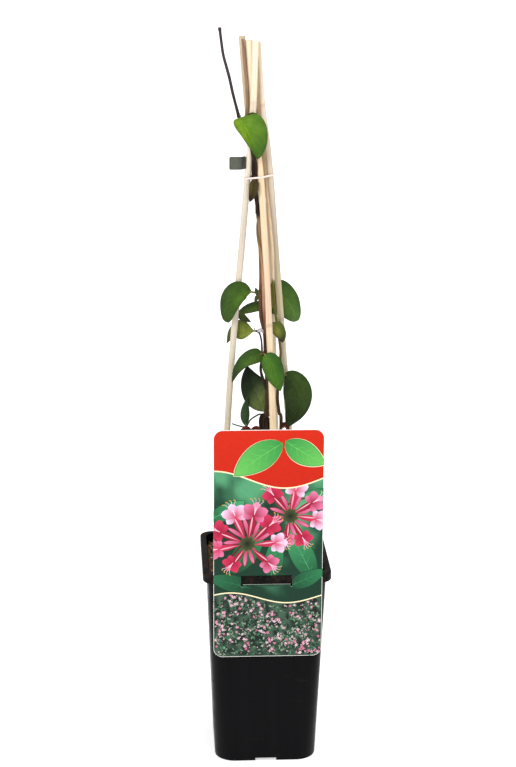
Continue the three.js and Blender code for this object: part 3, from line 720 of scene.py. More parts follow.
def cane_material():
    """A split bamboo cane: fibres along its length, tan streaks and a few dark specks."""
    s = Shader("bamboo", specular_ior_level=0.4)
    place = s.vector("cane_place")
    fibres = s.noise(s.stretch(place, (5.2, 5.2, 0.06)), 1.0, 7, 0.7)
    streaks = s.noise(s.stretch(place, (1.5, 1.5, 0.016)), 1.0, 3)
    patches = s.noise(s.stretch(place, (0.5, 0.5, 0.03)), 1.0, 2)
    # The cane's own colour, with painted light and shade along it.
    pale = s.vector("cane_tint")
    shade = s.mix(1.0, pale, (0.8, 0.72, 0.62, 1), "MULTIPLY")
    colour = s.mix(s.span(streaks, 0.42, 0.68), pale, shade)
    colour = s.shade(colour, fibres, 0.88, 1.1)
    colour = s.shade(colour, patches, 0.93, 1.06)
    specks = s.span(s.noise(s.stretch(place, (2.6, 2.6, 0.35)), 1.0, 3), 0.69, 0.75)
    colour = s.mix(s.times(specks, 0.5), colour, (134, 98, 62))
    colour = s.mix(s.times(s.split(s.vector("cane_mark"))[0], 0.55), colour, (150, 112, 74))
    rough = s.span(fibres, 0.3, 0.7, 0.5, 0.66)
    return s.finish(colour, rough, s.relief(fibres, 0.14))


def cane_cut_material():
    """A cane's sawn end: pith with darker fibre ends."""
    s = Shader("cane_cut", 0.8)
    place = s.vector("cane_place")
    dots = s.span(s.cells(place, 2.6), 0.12, 0.3, 1.0, 0.0)
    colour = s.shade((214, 190, 152), s.noise(place, 0.7, 4), 0.75, 1.15)
    colour = s.mix(s.times(dots, 0.6), colour, (128, 96, 66))
    return s.finish(colour, normal=s.relief(s.plus(dots, s.noise(place, 3, 3)), 0.2))


def pot_material():
    """Black recycled plastic: a fine grain, faint flow lines, scuffs, and dust near the rim."""
    s = Shader("pot_plastic", specular_ior_level=0.05)
    place = s.object_place()
    height = s.split(place)[2]
    grain = s.noise(place, 1500, 3)
    flow = s.noise(s.stretch(place, (160, 160, 5)), 1.0, 3)
    scuff = s.noise(s.stretch(place, (30, 30, 90)), 1.0, 6, 0.7)
    colour = s.shade((10, 10, 12), flow, 0.82, 1.2)
    colour = s.mix(s.span(scuff, 0.6, 0.74, 0.0, 0.1), colour, (70, 68, 66))
    dust = s.times(s.span(height, 0.168, 0.184), s.span(s.noise(place, 90, 5, 0.7), 0.46, 0.66))
    colour = s.mix(s.times(dust, 0.2), colour, (104, 80, 60))
    rough = s.plus(s.span(scuff, 0.4, 0.7, 0.3, 0.48), s.times(dust, 0.2))
    normal = s.relief(flow, 0.12, s.relief(grain, 0.03))
    return s.finish(colour, rough, normal)


def soil_material():
    """Compost: dark brown with lighter lumps and a few pale flecks."""
    s = Shader("compost", 0.95, specular_ior_level=0.2)
    place = s.object_place()
    lumps = s.noise(place, 260, 8, 0.7)
    colour = s.mix(s.span(lumps, 0.35, 0.68), (46, 34, 26), (134, 104, 78))
    pale = s.span(s.noise(place, 620, 4), 0.64, 0.72)
    colour = s.mix(s.times(pale, 0.6), colour, (196, 172, 142))
    return s.finish(colour, normal=s.relief(lumps, 1.6))


def crumb_material():
    """Crumbs, bark and fibres, each with its own tint."""
    s = Shader("crumbs", 0.9, specular_ior_level=0.25)
    place = s.object_place()
    colour = s.shade(s.colour("crumb_tint"), s.noise(place, 900, 6, 0.7), 0.6, 1.35)
    return s.finish(colour, normal=s.relief(s.noise(place, 1400, 4), 0.4))


def card_material():
    """The label's printed face: its print, under a thin glossy film."""
    s = Shader("label_print", 0.36, specular_ior_level=0.14, coat_weight=0.05, coat_roughness=0.22)
    place = s.object_place()
    colour = s.shade(s.colour("print"), s.noise(place, 260, 4), 0.94, 1.06)
    colour = s.shade(colour, s.noise(place, 2400, 2), 0.95, 1.05)
    return s.finish(colour, normal=s.relief(s.noise(place, 70, 2), 0.12))


def card_back_material():
    """The label's plain white back and edges."""
    s = Shader("label_card", 0.6)
    place = s.object_place()
    colour = s.shade(CARD_WHITE, s.noise(place, 700, 5), 0.95, 1.04)
    return s.finish(colour, normal=s.relief(s.noise(place, 1800, 3), 0.03))


def tie_material():
    """The pale pink plastic of the tie."""
    s = Shader("tie_plastic", 0.4)
    place = s.object_place()
    colour = s.mix(s.noise(place, 220, 3), (238, 214, 206), (244, 234, 228))
    return s.finish(colour, normal=s.relief(s.noise(place, 900, 3), 0.08))


def tape_material():
    """Tying tape: dark grey-green, a darker rim, ribs along it and painted shade near the cane. Its place is
    (along, up, rim).
    """
    s = Shader("tie_tape", 0.45)
    along, up, rim = s.split(s.vector("tape_place"))
    place = s.vector("tape_place")
    ribs = s.math("SINE", s.times(up, 9.0))
    colour = s.mix(s.noise(place, 0.35, 4), (94, 98, 82), (72, 76, 62))
    # Painted shade: darker towards the end that bends round the cane.
    colour = s.mix(s.span(along, -25.5, -18.5), colour, (30, 32, 24))
    colour = s.mix(s.times(rim, 0.8), colour, (32, 35, 28))
    height = s.plus(ribs, s.times(s.noise(s.stretch(place, (0.4, 4, 1)), 1.0, 3), 0.8))
    return s.finish(colour, s.span(along, -33.0, -9.0, 0.42, 0.5), s.relief(height, 0.08))


# ---------------------------------------------------------------- pot and soil
CORNER_STEPS = 14
WALL_ROWS = 12
SOIL_ROWS = 56
# How far the compost dips at its rim, and how high its mound, clods, crumbs and grit are.
SOIL_DIP, MOUND, CLOD, CRUMB, GRIT = 0.6, 1.1, 1.1, 0.8, 0.35
LUMP_LEVELS, LUMP_SIDES = 4, 6


def round_corners(half_width, half_height, corner, steps, middle=0):
    """A rectangle with round corners, anticlockwise, with its middle at a height."""
    points = []
    for side in range(4):
        cx = half_width - corner if side in (0, 3) else corner - half_width
        cy = half_height - corner if side < 2 else corner - half_height
        for step in range(steps + 1):
            angle = (side + step / steps) * math.pi / 2
            points.append((cx + corner * math.cos(angle), middle + cy + corner * math.sin(angle)))
    return points


def square_ring(half, corner, z, scale=1.0):
    """A square with round corners at a height, anticlockwise seen from above."""
    return [(scale * x, scale * y, z) for x, y in round_corners(half, half, corner, CORNER_STEPS)]


def wall_ring(z, inset=0.0, scale=1.0):
    """The tapered wall's outline at a height, drawn in by an inset."""
    t = z / (POT["height"] - POT["lip_height"])
    half = lerp(POT["base_half"], POT["lip_wall"], t) - inset
    corner = lerp(POT["base_corner"], POT["rim_corner"], t) - inset
    return square_ring(half, corner, z, scale)


def rounded(half, corner, z, radius, start, stop, steps=4):
    """Rings round an edge: an arc whose middle is at height z and a radius in from the half-width."""
    rings = []
    for step in range(steps + 1):
        angle = math.radians(lerp(start, stop, step / steps))
        out = radius * (math.cos(angle) - 1)
        rings.append(square_ring(half + out, corner + out, z + radius * math.sin(angle)))
    return rings


def helper(points, faces):
    """An object that only cuts or joins another."""
    mesh = bpy.data.meshes.new("helper")
    mesh.from_pydata((np.asarray(points, float) * MM).tolist(), [], faces)
    return put_in_scene("helper", mesh)


def boolean(piece, tool, operation):
    """Cuts or joins a helper into a piece, and leaves neither the helper nor a modifier."""
    modifier = piece.modifiers.new("boolean", "BOOLEAN")
    modifier.object = tool
    modifier.operation = operation
    modifier.solver = "EXACT"
    settled = piece.evaluated_get(bpy.context.evaluated_depsgraph_get())
    mesh = bpy.data.meshes.new_from_object(settled)
    old, shape = piece.data, tool.data
    piece.modifiers.clear()
    piece.data = mesh
    mesh.name = old.name
    bpy.data.objects.remove(tool)
    for unused in (old, shape):
        bpy.data.meshes.remove(unused)


def block(x0, x1, y0, y1, z0, z1):
    """A helper box."""
    corners = [(x, y, z) for z in (z0, z1) for x, y in ((x0, y0), (x1, y0), (x1, y1), (x0, y1))]
    sides = [(0, 1, 5, 4), (1, 2, 6, 5), (2, 3, 7, 6), (3, 0, 4, 7)]
    return helper(corners, [(0, 3, 2, 1), (4, 5, 6, 7), *sides])


def drum(x, y, radius, z0, z1):
    """A helper cylinder that stands upright."""
    return helper(*tube(np.array([(x, y, z0), (x, y, z1)], float), radius, 40))


def make_pot():
    """The pot, as rings from under its floor round the foot, up outside, over the rim and down inside."""
    height, edge, foot, wall = POT["height"], POT["edge"], POT["foot"], POT["wall"]
    base, base_corner = POT["base_half"], POT["base_corner"]
    rim, rim_corner = POT["rim_half"], POT["rim_corner"]
    lip_bottom = height - POT["lip_height"]
    floor_top = foot + POT["floor"]
    ring_half, ring_corner = base - POT["foot_wall"], base_corner - POT["foot_wall"]
    mouth, mouth_corner = POT["lip_wall"] - wall, rim_corner - wall
    bevel, mouth_bevel, mouth_flare, bend = 0.25, 0.3, 1, POT["inner_bend"]
    rings = [square_ring(ring_half, ring_corner, z) for z in (foot, bevel)]
    rings.append(square_ring(ring_half + bevel, ring_corner + bevel, 0))
    rings += rounded(base, base_corner, edge, edge, -90, 0)
    rings += [wall_ring(z) for z in np.linspace(8, lip_bottom - POT["lip_slope"], WALL_ROWS)]
    rings.append(square_ring(rim - edge, rim_corner - edge, lip_bottom))
    rings += rounded(rim, rim_corner, lip_bottom + edge, edge, -50, 0, 3)
    rings += rounded(rim, rim_corner, height - edge, edge, 0, 90)
    rings.append(square_ring(mouth + mouth_flare, mouth_corner + mouth_flare, height))
    rings.append(square_ring(mouth + mouth_bevel, mouth_corner + mouth_bevel, height - mouth_bevel))
    rings += [wall_ring(z, wall) for z in np.linspace(height - mouth_flare, floor_top + bend, WALL_ROWS)]
    rings.append(wall_ring(floor_top + edge, wall + edge))
    rings.append(wall_ring(floor_top, wall + bend))
    points = rings_with_caps(rings)
    points[-2:] = [(0, 0, foot), (0, 0, floor_top)]
    pot = Piece(pot_material())
    pot.add(points, bridge(len(rings), len(rings[0])))
    pot = pot.build("nursery_pot", "pot", "pot", sharp=40)
    notch = POT["notch"] / 2
    boolean(pot, block(-rim, rim, -notch, notch, -1, foot), "DIFFERENCE")
    boolean(pot, block(-notch, notch, -rim, rim, -1, foot), "DIFFERENCE")
    for i in range(POT["drains"]):
        angle = i / POT["drains"] * 2 * math.pi
        x, y = POT["drain_ring"] * math.cos(angle), POT["drain_ring"] * math.sin(angle)
        boolean(pot, drum(x, y, POT["drain_radius"], foot - 1, floor_top + 1), "DIFFERENCE")
    boolean(pot, drum(0, 0, POT["pad_radius"], 0, foot + POT["floor"] / 2), "UNION")
    pot.data.set_sharp_from_angle(angle=math.radians(40))


def soil_height(x, y):
    """The compost's top: low at the wall, mounded in the middle, with clods and crumbs."""
    reach = min(1, max(abs(x), abs(y)) / POT["lip_wall"])
    clods = noise.noise(Vector((x, y, 3)) * 0.09)
    crumbs = noise.noise(Vector((x, y, 9)) * 0.32)
    grit = noise.noise(Vector((x, y, 5)) * 0.9)
    return SOIL_TOP - SOIL_DIP + MOUND * (1 - reach * reach) + CLOD * clods + CRUMB * crumbs + GRIT * grit


def make_soil():
    """The compost, which fills the pot and has a rough top."""
    inset = POT["wall"] + SOIL_GAP
    floor_top = POT["foot"] + POT["floor"] + SOIL_GAP
    rings = [wall_ring(z, inset) for z in (floor_top, 60, 120, 168, SOIL_TOP - 1.6)]
    for row in range(1, SOIL_ROWS):
        ring = wall_ring(SOIL_TOP - 1, inset, 1 - row / SOIL_ROWS)
        rings.append([(x, y, soil_height(x, y)) for x, y, _ in ring])
    points = rings_with_caps(rings)
    points[-1] = (0, 0, soil_height(0, 0))
    soil = Piece(soil_material())
    soil.add(points, bridge(len(rings), len(rings[0])))
    soil.build("compost", "soil", "soil", sharp=80)


def lump(size, squash):
    """A small irregular stone-like lump."""
    points, faces = [(0, 0, -1)], []
    for level in range(1, LUMP_LEVELS):
        polar = math.pi * level / LUMP_LEVELS
        for i in range(LUMP_SIDES):
            a = 2 * math.pi * (i + 0.5 * (level % 2)) / LUMP_SIDES
            points.append((math.sin(polar) * math.cos(a), math.sin(polar) * math.sin(a), -math.cos(polar)))
    top = len(points)
    points.append((0, 0, 1))
    for i in range(LUMP_SIDES):
        j = (i + 1) % LUMP_SIDES
        faces.append((0, 1 + j, 1 + i))
        for low in range(1, top - LUMP_SIDES, LUMP_SIDES):
            high = low + LUMP_SIDES
            faces.append((low + i, low + j, high + j, high + i))
        faces.append((top - LUMP_SIDES + i, top - LUMP_SIDES + j, top))
    points = np.array(points) * [rng.uniform(0.75, 1.25) * size for _ in range(3)] * (1, 1, squash)
    points *= np.array([[rng.uniform(0.8, 1.2)] for _ in points])
    spin, tilt = rng.uniform(0, 6.28), rng.uniform(-0.6, 0.6)
    turn = np.array(Matrix.Rotation(spin, 3, "Z") @ Matrix.Rotation(tilt, 3, "X"))
    return points @ turn.T, faces


CRUMB_TINTS = [(78, 56, 40), (108, 80, 56), (140, 110, 78), (52, 38, 30), (164, 134, 100), (98, 86, 70)]
FIBRE_TINTS = [(198, 172, 136), (172, 142, 106), (214, 194, 164), (142, 112, 80)]
GRIT_TINT = (206, 202, 192)
CRUMB_COUNT, CHIP_COUNT, FIBRE_COUNT = 1500, 70, 260
GRIT_SHARE = 0.03


def in_pot(margin):
    """A chance place on the compost, at least a margin from the pot's wall."""
    limit = POT["lip_wall"] - POT["wall"] - margin
    return rng.uniform(-limit, limit), rng.uniform(-limit, limit)


def make_soil_bits():
    """Crumbs, bark chips, fibres and white grit that lie on the compost."""
    bits = Piece(crumb_material())
    for _ in range(CRUMB_COUNT):
        size = rng.choice((0.5, 0.7, 0.9, 1.3, 1.8)) * rng.uniform(0.8, 1.2)
        x, y = in_pot(2.6)
        points, faces = lump(size, rng.uniform(0.5, 0.95))
        tint = GRIT_TINT if rng.random() < GRIT_SHARE else rng.choice(CRUMB_TINTS)
        points += (x, y, soil_height(x, y) + size * 0.25)
        bits.add(points, faces, crumb_tint=linear(tint))
    for _ in range(CHIP_COUNT):
        x, y = in_pot(6)
        points, faces = lump(rng.uniform(2.5, 5.5) * 0.5, 0.28)
        points += (x, y, soil_height(x, y) + 0.5)
        bits.add(points, faces, crumb_tint=linear(rng.choice(CRUMB_TINTS[1:4])))
    for _ in range(FIBRE_COUNT):
        x, y = in_pot(7)
        angle, length = rng.uniform(0, 6.28), rng.uniform(3, 11)
        path = []
        for step in range(7):
            t = step / 6 - 0.5
            px, py = x + math.cos(angle) * t * length, y + math.sin(angle) * t * length
            angle += rng.uniform(-0.25, 0.25)
            path.append((px, py, soil_height(px, py) + rng.uniform(0.3, 0.9)))
        points, faces = tube(np.array(path), rng.uniform(0.12, 0.34), 5)
        bits.add(points, faces, crumb_tint=linear(rng.choice(FIBRE_TINTS)))
    bits.build("compost_crumbs", "soil", sharp=70)


# ---------------------------------------------------------------- canes
# Colours in even steps from a cane's top down to the label: the cane's own colour with painted light and
# shade, lighter where a cane is in full light and darker where it stands in the shade of the other canes.
CANE_COLOURS_AND_SHADE = {
    "cane_left": [
        (255, 242, 218), (254, 238, 214), (230, 220, 203), (218, 208, 196), (226, 217, 199), (208, 198, 178),
        (204, 194, 172),
    ],
    "cane_front": [
        (255, 238, 210), (254, 232, 202), (248, 222, 188), (240, 212, 178), (232, 208, 182), (238, 214, 180),
        (244, 220, 182),
    ],
    "cane_right": [
        (242, 226, 204), (246, 230, 210), (218, 205, 188), (194, 180, 162), (202, 190, 154), (208, 198, 176),
        (208, 198, 176),
    ],
    "cane_rear": [
        (216, 196, 168), (206, 182, 154), (178, 154, 124), (220, 202, 174), (250, 236, 212), (230, 214, 188),
        (230, 214, 188),
    ],
}
LOOKS_END = 0.6
CANE_SIDES, CANE_STEP = 28, 2.4
# The rings of a sawn top, from its pith out: share of the cane's radius, and rise.
SAWN_TOP = ((0.42, -0.55), (0.62, -0.05), (0.9, 0.12))
PITH_DEPTH = 0.7
CANE_OVAL, CANE_THREE_SIDED, CANE_LUMPS = 0.07, 0.05, 0.05
# A joint's swelling, how far that runs along the cane, and how far its mark does.
JOINT_SWELL, JOINT_LENGTH, JOINT_MARK = 0.16, 2.2, 1.1
# Where a cane's first joint may be, and how far the next ones may be from each other.
FIRST_JOINT, JOINT_STEP = (50, 90), (150, 190)


def make_cane(name, route):
    """A cane: slightly out of round, with faint joints, a chamfered sawn top and a sunk pith."""
    path, along = even_path(route, CANE_STEP)
    seed = rng.uniform(0, 40)
    angle = turns(CANE_SIDES)
    radius = np.full((len(path), CANE_SIDES), CANE_RADIUS)
    radius += CANE_OVAL * np.cos(2 * angle + seed) + CANE_THREE_SIDED * np.cos(3 * angle + 2 * seed)
    radius += CANE_LUMPS * ripple(angle, along, 1, 0.02, seed)
    mark = np.zeros(len(path))
    for joint in np.arange(rng.uniform(*FIRST_JOINT), along[-1], rng.uniform(*JOINT_STEP)):
        radius += JOINT_SWELL * bump(along, joint, JOINT_LENGTH)[:, None]
        mark = np.maximum(mark, bump(along, joint, JOINT_MARK))
    outside = tube(path, radius, CANE_SIDES)[0][:-2].reshape(len(path), CANE_SIDES, 3)
    up = unit(path[0] - path[1])
    sawn = [path[0] + (outside[0] - path[0]) * size + up * rise for size, rise in SAWN_TOP]
    rings = np.vstack([np.array(sawn), outside])
    points = rings_with_caps(rings)
    points[-2] = path[0] - up * PITH_DEPTH
    faces = bridge(len(rings), CANE_SIDES)
    cut_points, pith = len(SAWN_TOP) * CANE_SIDES, len(rings) * CANE_SIDES
    is_cut = [int(max(face) < cut_points or pith in face) for face in faces]
    place = [disc(angle, CANE_RADIUS, seed) * (size, size, 1) for size, _ in SAWN_TOP]
    place += [disc(angle, CANE_RADIUS, s + 9 * seed) for s in along]
    marks = np.concatenate([np.zeros(cut_points), np.repeat(mark, CANE_SIDES), [0, 0]])
    tint = tints_along(along / along[-1], CANE_COLOURS_AND_SHADE[name], LOOKS_END)
    tint = np.vstack([np.repeat(tint[:1], cut_points, axis=0), np.repeat(tint, CANE_SIDES, axis=0)])
    cane = Piece(BAMBOO, CANE_CUT)
    cane.add(
        points, faces, is_cut, cane_mark=marks[:, None], cane_tint=capped(tint),
        cane_place=np.vstack([*place, (0, 0, seed), (0, 0, seed)]),
    )
    cane.build(f"{name}_bamboo", "cane", name, sharp=45)


# ---------------------------------------------------------------- stems
STEM_SIDES, STEM_STEP = 14, 0.9
# A stem swells at a leaf whose foot is near its middle line: how near, how much, and how far along.
NODE_REACH, NODE_SWELL, NODE_LENGTH = 2.5, 0.45, 1.3
BARK_RIDGE, STEM_WANDER, STEM_END = 0.16, 0.15, 6
FLARE_START = 0.93
PATCH_FADE = 2.5
BUD_LENGTH, BUD_RADIUS, BUD_ROWS = 2.6, 0.62, 10


def make_stems(name, stems, leaves, node):
    """Stems with bark ridges, swollen where leaves grow, with small buds there."""
    piece = Piece(BARK, BUD)
    roots = [np.array(spec["rib"][0], float) for spec in leaves.values()]
    angle = turns(STEM_SIDES)
    for stem in stems.values():
        path, along = even_path(stem["route"], STEM_STEP)
        seed = rng.uniform(0, 90)
        t = along / along[-1]
        radius = np.interp(t, np.linspace(0, 1, len(stem["radii"])), stem["radii"])
        radius = radius + stem.get("flare", 0) * smooth(FLARE_START, 1, t)
        for root in roots:
            gap = np.linalg.norm(path - root, axis=1)
            if gap.min() < NODE_REACH:
                radius = radius + NODE_SWELL * bump(along, along[gap.argmin()], NODE_LENGTH)
        radius = radius[:, None] * (1 + BARK_RIDGE * ripple(angle, along, 2.2, 0.07, seed))
        bend = [
            [noise.noise(Vector((seed, k * 9.0, s * 0.05))) * STEM_WANDER for k in range(3)] for s in along
        ]
        ends = np.minimum(1, np.minimum(along, along[-1] - along) / STEM_END)[:, None]
        points, faces = tube(path + np.array(bend) * ends, radius, STEM_SIDES)
        tint = tints_along(t, stem["bark"])
        if "patch" in stem:
            low, high, colour = stem["patch"]
            cover = smooth(low - PATCH_FADE, low + PATCH_FADE, path[:, 2])
            cover = cover * (1 - smooth(high - PATCH_FADE, high + PATCH_FADE, path[:, 2]))
            tint = lerp(tint, linear(colour), cover[:, None])
        place = np.vstack([disc(angle, 2, s + seed * 7) for s in along])
        piece.add(points, faces, stem_mm=capped(place), stem_tint=capped(np.repeat(tint, STEM_SIDES, axis=0)))
    for spec in leaves.values():
        add_bud(piece, *np.array(spec["rib"][:2], float))
    piece.build(name, "vine", node, sharp=60)


def add_bud(piece, root, outward):
    """A scaly bud in the angle above a leaf's stalk, which runs from its root to a point outward."""
    away = unit(outward - root)
    way = unit(away * 0.45 + (0, 0, 1))
    t = np.linspace(0, 1, BUD_ROWS)
    path = root + np.outer(t * BUD_LENGTH + 0.7, way) + away * 0.5
    scales = 1 + 0.1 * (np.arange(BUD_ROWS) % 3 == 1)
    radius = BUD_RADIUS * np.sin(np.pi * np.clip(t, 0.08, 0.985)) ** 0.7 * (1 - 0.35 * t) * scales
    points, faces = tube(path, radius, 9)
    piece.add(points, faces, 1, stem_mm=points - root)


# ---------------------------------------------------------------- leaves
LEAF_ROWS, LEAF_COLUMNS = 56, 24
FADE_SLANT = 0.14
VEIN_PAIRS = 7
# Reliefs of a large leaf: quilted cells between its veins, its sunk midrib and its wavy edge.
QUILT, MIDRIB, WAVE = 0.3, 0.4, 0.45
RIB_END = 0.86
# Half the blade's thickness, at its middle and at its edge.
BLADE_MIDDLE, BLADE_EDGE = 0.2, 0.09
DROOP = 0.12


def rib_frames(spec, place):
    """Middle, sideways and upward directions of the blade at places along the rib."""
    rib = spec["rib"]
    middle = catmull(rib, place)
    step = 1e-4
    tangent = unit(catmull(rib, np.clip(place + step, 0, 1)) - catmull(rib, np.clip(place - step, 0, 1)))
    side = unit(np.cross(tangent, unit(spec["face"])))
    return middle, side, np.cross(side, tangent)


def sheet_faces(grid):
    """Faces of a leaf's sheet with their materials. The grid has its upper points' numbers."""
    count = grid.size
    a, b, c, d = (g.ravel() for g in (grid[:-1, :-1], grid[:-1, 1:], grid[1:, 1:], grid[1:, :-1]))
    over = np.column_stack([a, b, c, d]).tolist()
    under = (np.column_stack([a, d, c, b]) + count).tolist()
    loop = np.concatenate([grid[0, :-1], grid[:-1, -1], grid[-1, :0:-1], grid[:0:-1, 0]])
    rim = [(q + count, s + count, s, q) for q, s in zip(loop.tolist(), np.roll(loop, -1).tolist())]
    return over + under + rim, [0] * len(over) + [1] * len(under) + [0] * len(rim)


def blade_tint(spec, t, v):
    """Colours of a blade at places t along it and v across it, from its foot to its tip."""
    first, second, tip = (linear(colour) for colour in spec["colours"])
    tint = lerp(second, first, smooth(-0.5, 0.5, v)[None, :, None]) * np.ones((len(t), 1, 1))
    if spec["foot"]:
        foot, start, end = spec["foot"]
        tint = lerp(linear(foot), tint, smooth(start, end, t[:, None] - FADE_SLANT * v)[..., None])
    return lerp(tint, tip, smooth(0.45, 0.95, t)[:, None, None])


def add_leaf(piece, spec):
    """A blade with sunk veins, quilted cells between them and a wavy edge, and its stalk."""
    seed = rng.uniform(0, 50)
    share = np.linspace(0, 1, LEAF_ROWS + 1)
    t = lerp(0.004, 0.996, (1 - np.cos(np.pi * share)) / 2 * 0.35 + share * 0.65)
    v = np.linspace(-1, 1, LEAF_COLUMNS + 1)
    middle, side, up = rib_frames(spec, lerp(spec["bare"], 1, t))
    first_width, second_width = (
        np.maximum(np.sin(np.pi * t**belly) ** lerp(*full, t), 0.02)[:, None]
        for belly, full in zip(spec["belly"], spec["full"])
    )
    width = lerp(second_width, first_width, smooth(-0.1, 0.1, v))
    half, fold = (np.where(v > 0, *spec[key]) for key in ("half", "fold"))
    span = np.abs(v) * half * width
    droop = DROOP * v**2 * width * min(spec["half"])
    vein = VEIN_PAIRS * (t[:, None] - 0.34 * np.abs(v) ** 0.9) + np.where(v > 0, 0.5, 0.0)
    quilt = np.abs(np.sin(np.pi * vein)) ** 0.7 - 0.6
    size = min(1.0, max(spec["half"]) / 9)
    swell = np.sin(np.pi * t)[:, None]
    wave = np.sin(2 * np.pi * (2.6 * t[:, None] + np.where(v > 0, 0.3, 0.0)) + seed)
    relief = QUILT * size * quilt * (1 - v**2) * np.sqrt(swell)
    relief -= MIDRIB * size * np.exp(-((v * 9) ** 2)) * swell
    relief += WAVE * size * np.abs(v) ** 3 * wave * swell
    lift = np.sin(np.radians(fold)) * span - droop + relief
    across = np.sign(v) * np.cos(np.radians(fold)) * span
    sheet = middle[:, None] + side[:, None] * across[..., None] + up[:, None] * lift[..., None]
    thick = up[:, None] * (lerp(BLADE_MIDDLE, BLADE_EDGE, v**2) * np.minimum(1, 0.4 + width))[..., None]
    length = np.linalg.norm(np.diff(middle, axis=0), axis=1).sum()
    faces, sides = sheet_faces(np.arange(width.size).reshape(width.shape))
    piece.add(
        np.vstack([(sheet + thick).reshape(-1, 3), (sheet - thick).reshape(-1, 3)]), faces, sides,
        leaf_place=twice(t[:, None], v[None], vein), leaf_mm=twice(t[:, None] * length, across, seed),
        leaf_tint=np.tile(blade_tint(spec, t, v).reshape(-1, 3), (2, 1)),
    )
    add_stalk(piece, spec, size)


def twice(*values):
    """Vectors of three values each for a blade's upper points, and again for its lower ones."""
    return np.tile(np.stack(np.broadcast_arrays(*values), axis=-1).reshape(-1, 3), (2, 1))


def add_stalk(piece, spec, size):
    """A leaf's stalk, which runs on under its blade as a midrib that thins out before the tip."""
    reach = np.linspace(0, lerp(spec["bare"], 1, RIB_END), 40)
    line, _, above = rib_frames(spec, reach)
    blade = np.clip((reach - spec["bare"]) / (1 - spec["bare"]), 0, 1)
    thickness = lerp(0.85, 0.5, smooth(0, 0.14, blade)) * lerp(1, 0.3, smooth(0.1, 1, blade))
    thickness = thickness * lerp(0.5, 1, size)
    sunk = MIDRIB * size * np.sin(np.pi * blade) + thickness * 0.95 * smooth(0, 0.12, blade)
    points, faces = tube(line - above * sunk[:, None], thickness, 8)
    piece.add(points, faces, 2, leaf_mm=points)


def make_leaves(name, leaves):
    """Every leaf of one vine, as one piece."""
    piece = Piece(LEAF_FACE, LEAF_UNDER, STALK)
    for spec in leaves.values():
        add_leaf(piece, spec)
    piece.build(name, "vine", sharp=75)


# ---------------------------------------------------------------- tie and tape
TIE_STEPS, TIE_SIDES = 120, 14
TIE_TAIL = [(-18.4, -5.2, 523.7), (-19.4, -5, 523.5), (-20.4, -4.5, 523.4), (-21.2, -3.8, 523.6)]
TIE_TAIL_RADIUS = 0.5
TAPE_ROWS = 22
TAPE_ROUND = 1.2


def cane_at(route, z):
    """A cane's centre at a height."""
    for above, below in zip(route, route[1:]):
        if below[2] <= z:
            t = (z - below[2]) / (above[2] - below[2])
            return lerp(below[0], above[0], t), lerp(below[1], above[1], t)
    raise ValueError("the cane doesn't reach that height")


def tie_height(x):
    """The height of the slanting tie at a place across the plant."""
    share = (x - TIE_RISE["low_x"]) / (TIE_RISE["high_x"] - TIE_RISE["low_x"])
    return lerp(TIE_RISE["low"], TIE_RISE["high"], share)


def blunt(wave, size):
    """A place across a bar between round and square. The wave is a turn's sine or cosine."""
    return math.copysign(abs(wave) ** 0.6, wave) * size / 2


def make_tie():
    """A flat plastic band round the canes, with a rounded section and a short tail."""
    canes = [cane_at(route, TIE["level"]) for route in CANES.values()]
    middle = CANE_RADIUS + TIE["gap"] + TIE["thickness"] / 2
    points = []
    for step in range(TIE_STEPS):
        angle = step / TIE_STEPS * 2 * math.pi
        dx, dy = math.cos(angle), math.sin(angle)
        cane = max(canes, key=lambda place: place[0] * dx + place[1] * dy)
        for k in range(TIE_SIDES):
            turn = k / TIE_SIDES * 2 * math.pi
            reach = middle + blunt(math.cos(turn), TIE["thickness"])
            x = cane[0] + dx * reach
            points.append((x, cane[1] + dy * reach, tie_height(x) + blunt(math.sin(turn), TIE["height"])))
    total = len(points)
    faces = bridge(TIE_STEPS + 1, TIE_SIDES, caps=False)
    tie = Piece(tie_material())
    tie.add(points, [tuple(i % total for i in face[::-1]) for face in faces])
    path, along = even_path(TIE_TAIL, 0.25)
    radius = TIE_TAIL_RADIUS * np.sqrt(np.clip(1.02 - (along / along[-1]) ** 6, 0, 1))
    tie.add(*tube(path, radius, 10))
    tie.build("tie_band_round_canes", "tie", "tie_band", sharp=60)


def make_tape():
    """A strip of tying tape that bends round the left cane, slightly bowed, with round edges."""
    path, along = even_path(TAPE_ROUTE, 0.3)
    way = unit(np.gradient(path, axis=0))
    out = np.column_stack([way[:, 1], -way[:, 0], np.zeros(len(path))])[:, None]
    middle = (TAPE["top"] + TAPE["bottom"]) / 2
    up = np.linspace(-1, 1, TAPE_ROWS)
    ends = np.minimum(along, along[-1] - along)
    round_end = np.sqrt(np.clip(1 - (1 - np.clip(ends / TAPE_ROUND, 0.05, 1)) ** 2, 0.1, 1))
    height = (TAPE["top"] - TAPE["bottom"]) / 2 - TAPE_ROUND * (1 - round_end)
    thick = out * (TAPE["thickness"] / 2 * np.sqrt(np.clip(1 - np.abs(up) ** 12, 0.15, 1)))[:, None]
    bow = 0.12 * np.sin(along * 0.45)[:, None] * np.cos(up * 1.2)[None]
    sheet = path[:, None] + out * bow[..., None]
    sheet[..., 2] += middle + up[None] * height[:, None]
    rings = np.concatenate([sheet + thick, (sheet - thick)[:, ::-1]], axis=1)
    rim = np.maximum(smooth(0.8, 0.95, np.abs(up))[None], (1 - smooth(0.3, 1.3, ends))[:, None])
    rim = np.concatenate([rim, rim[:, ::-1]], axis=1)
    place = np.stack([rings[..., 0], rings[..., 2] - middle, rim], axis=-1).reshape(-1, 3)
    tape = Piece(tape_material())
    tape.add(rings_with_caps(rings), bridge(len(path), 2 * TAPE_ROWS), tape_place=capped(place))
    tape.build("tape_strip", "tape", "tape_tie", sharp=60)


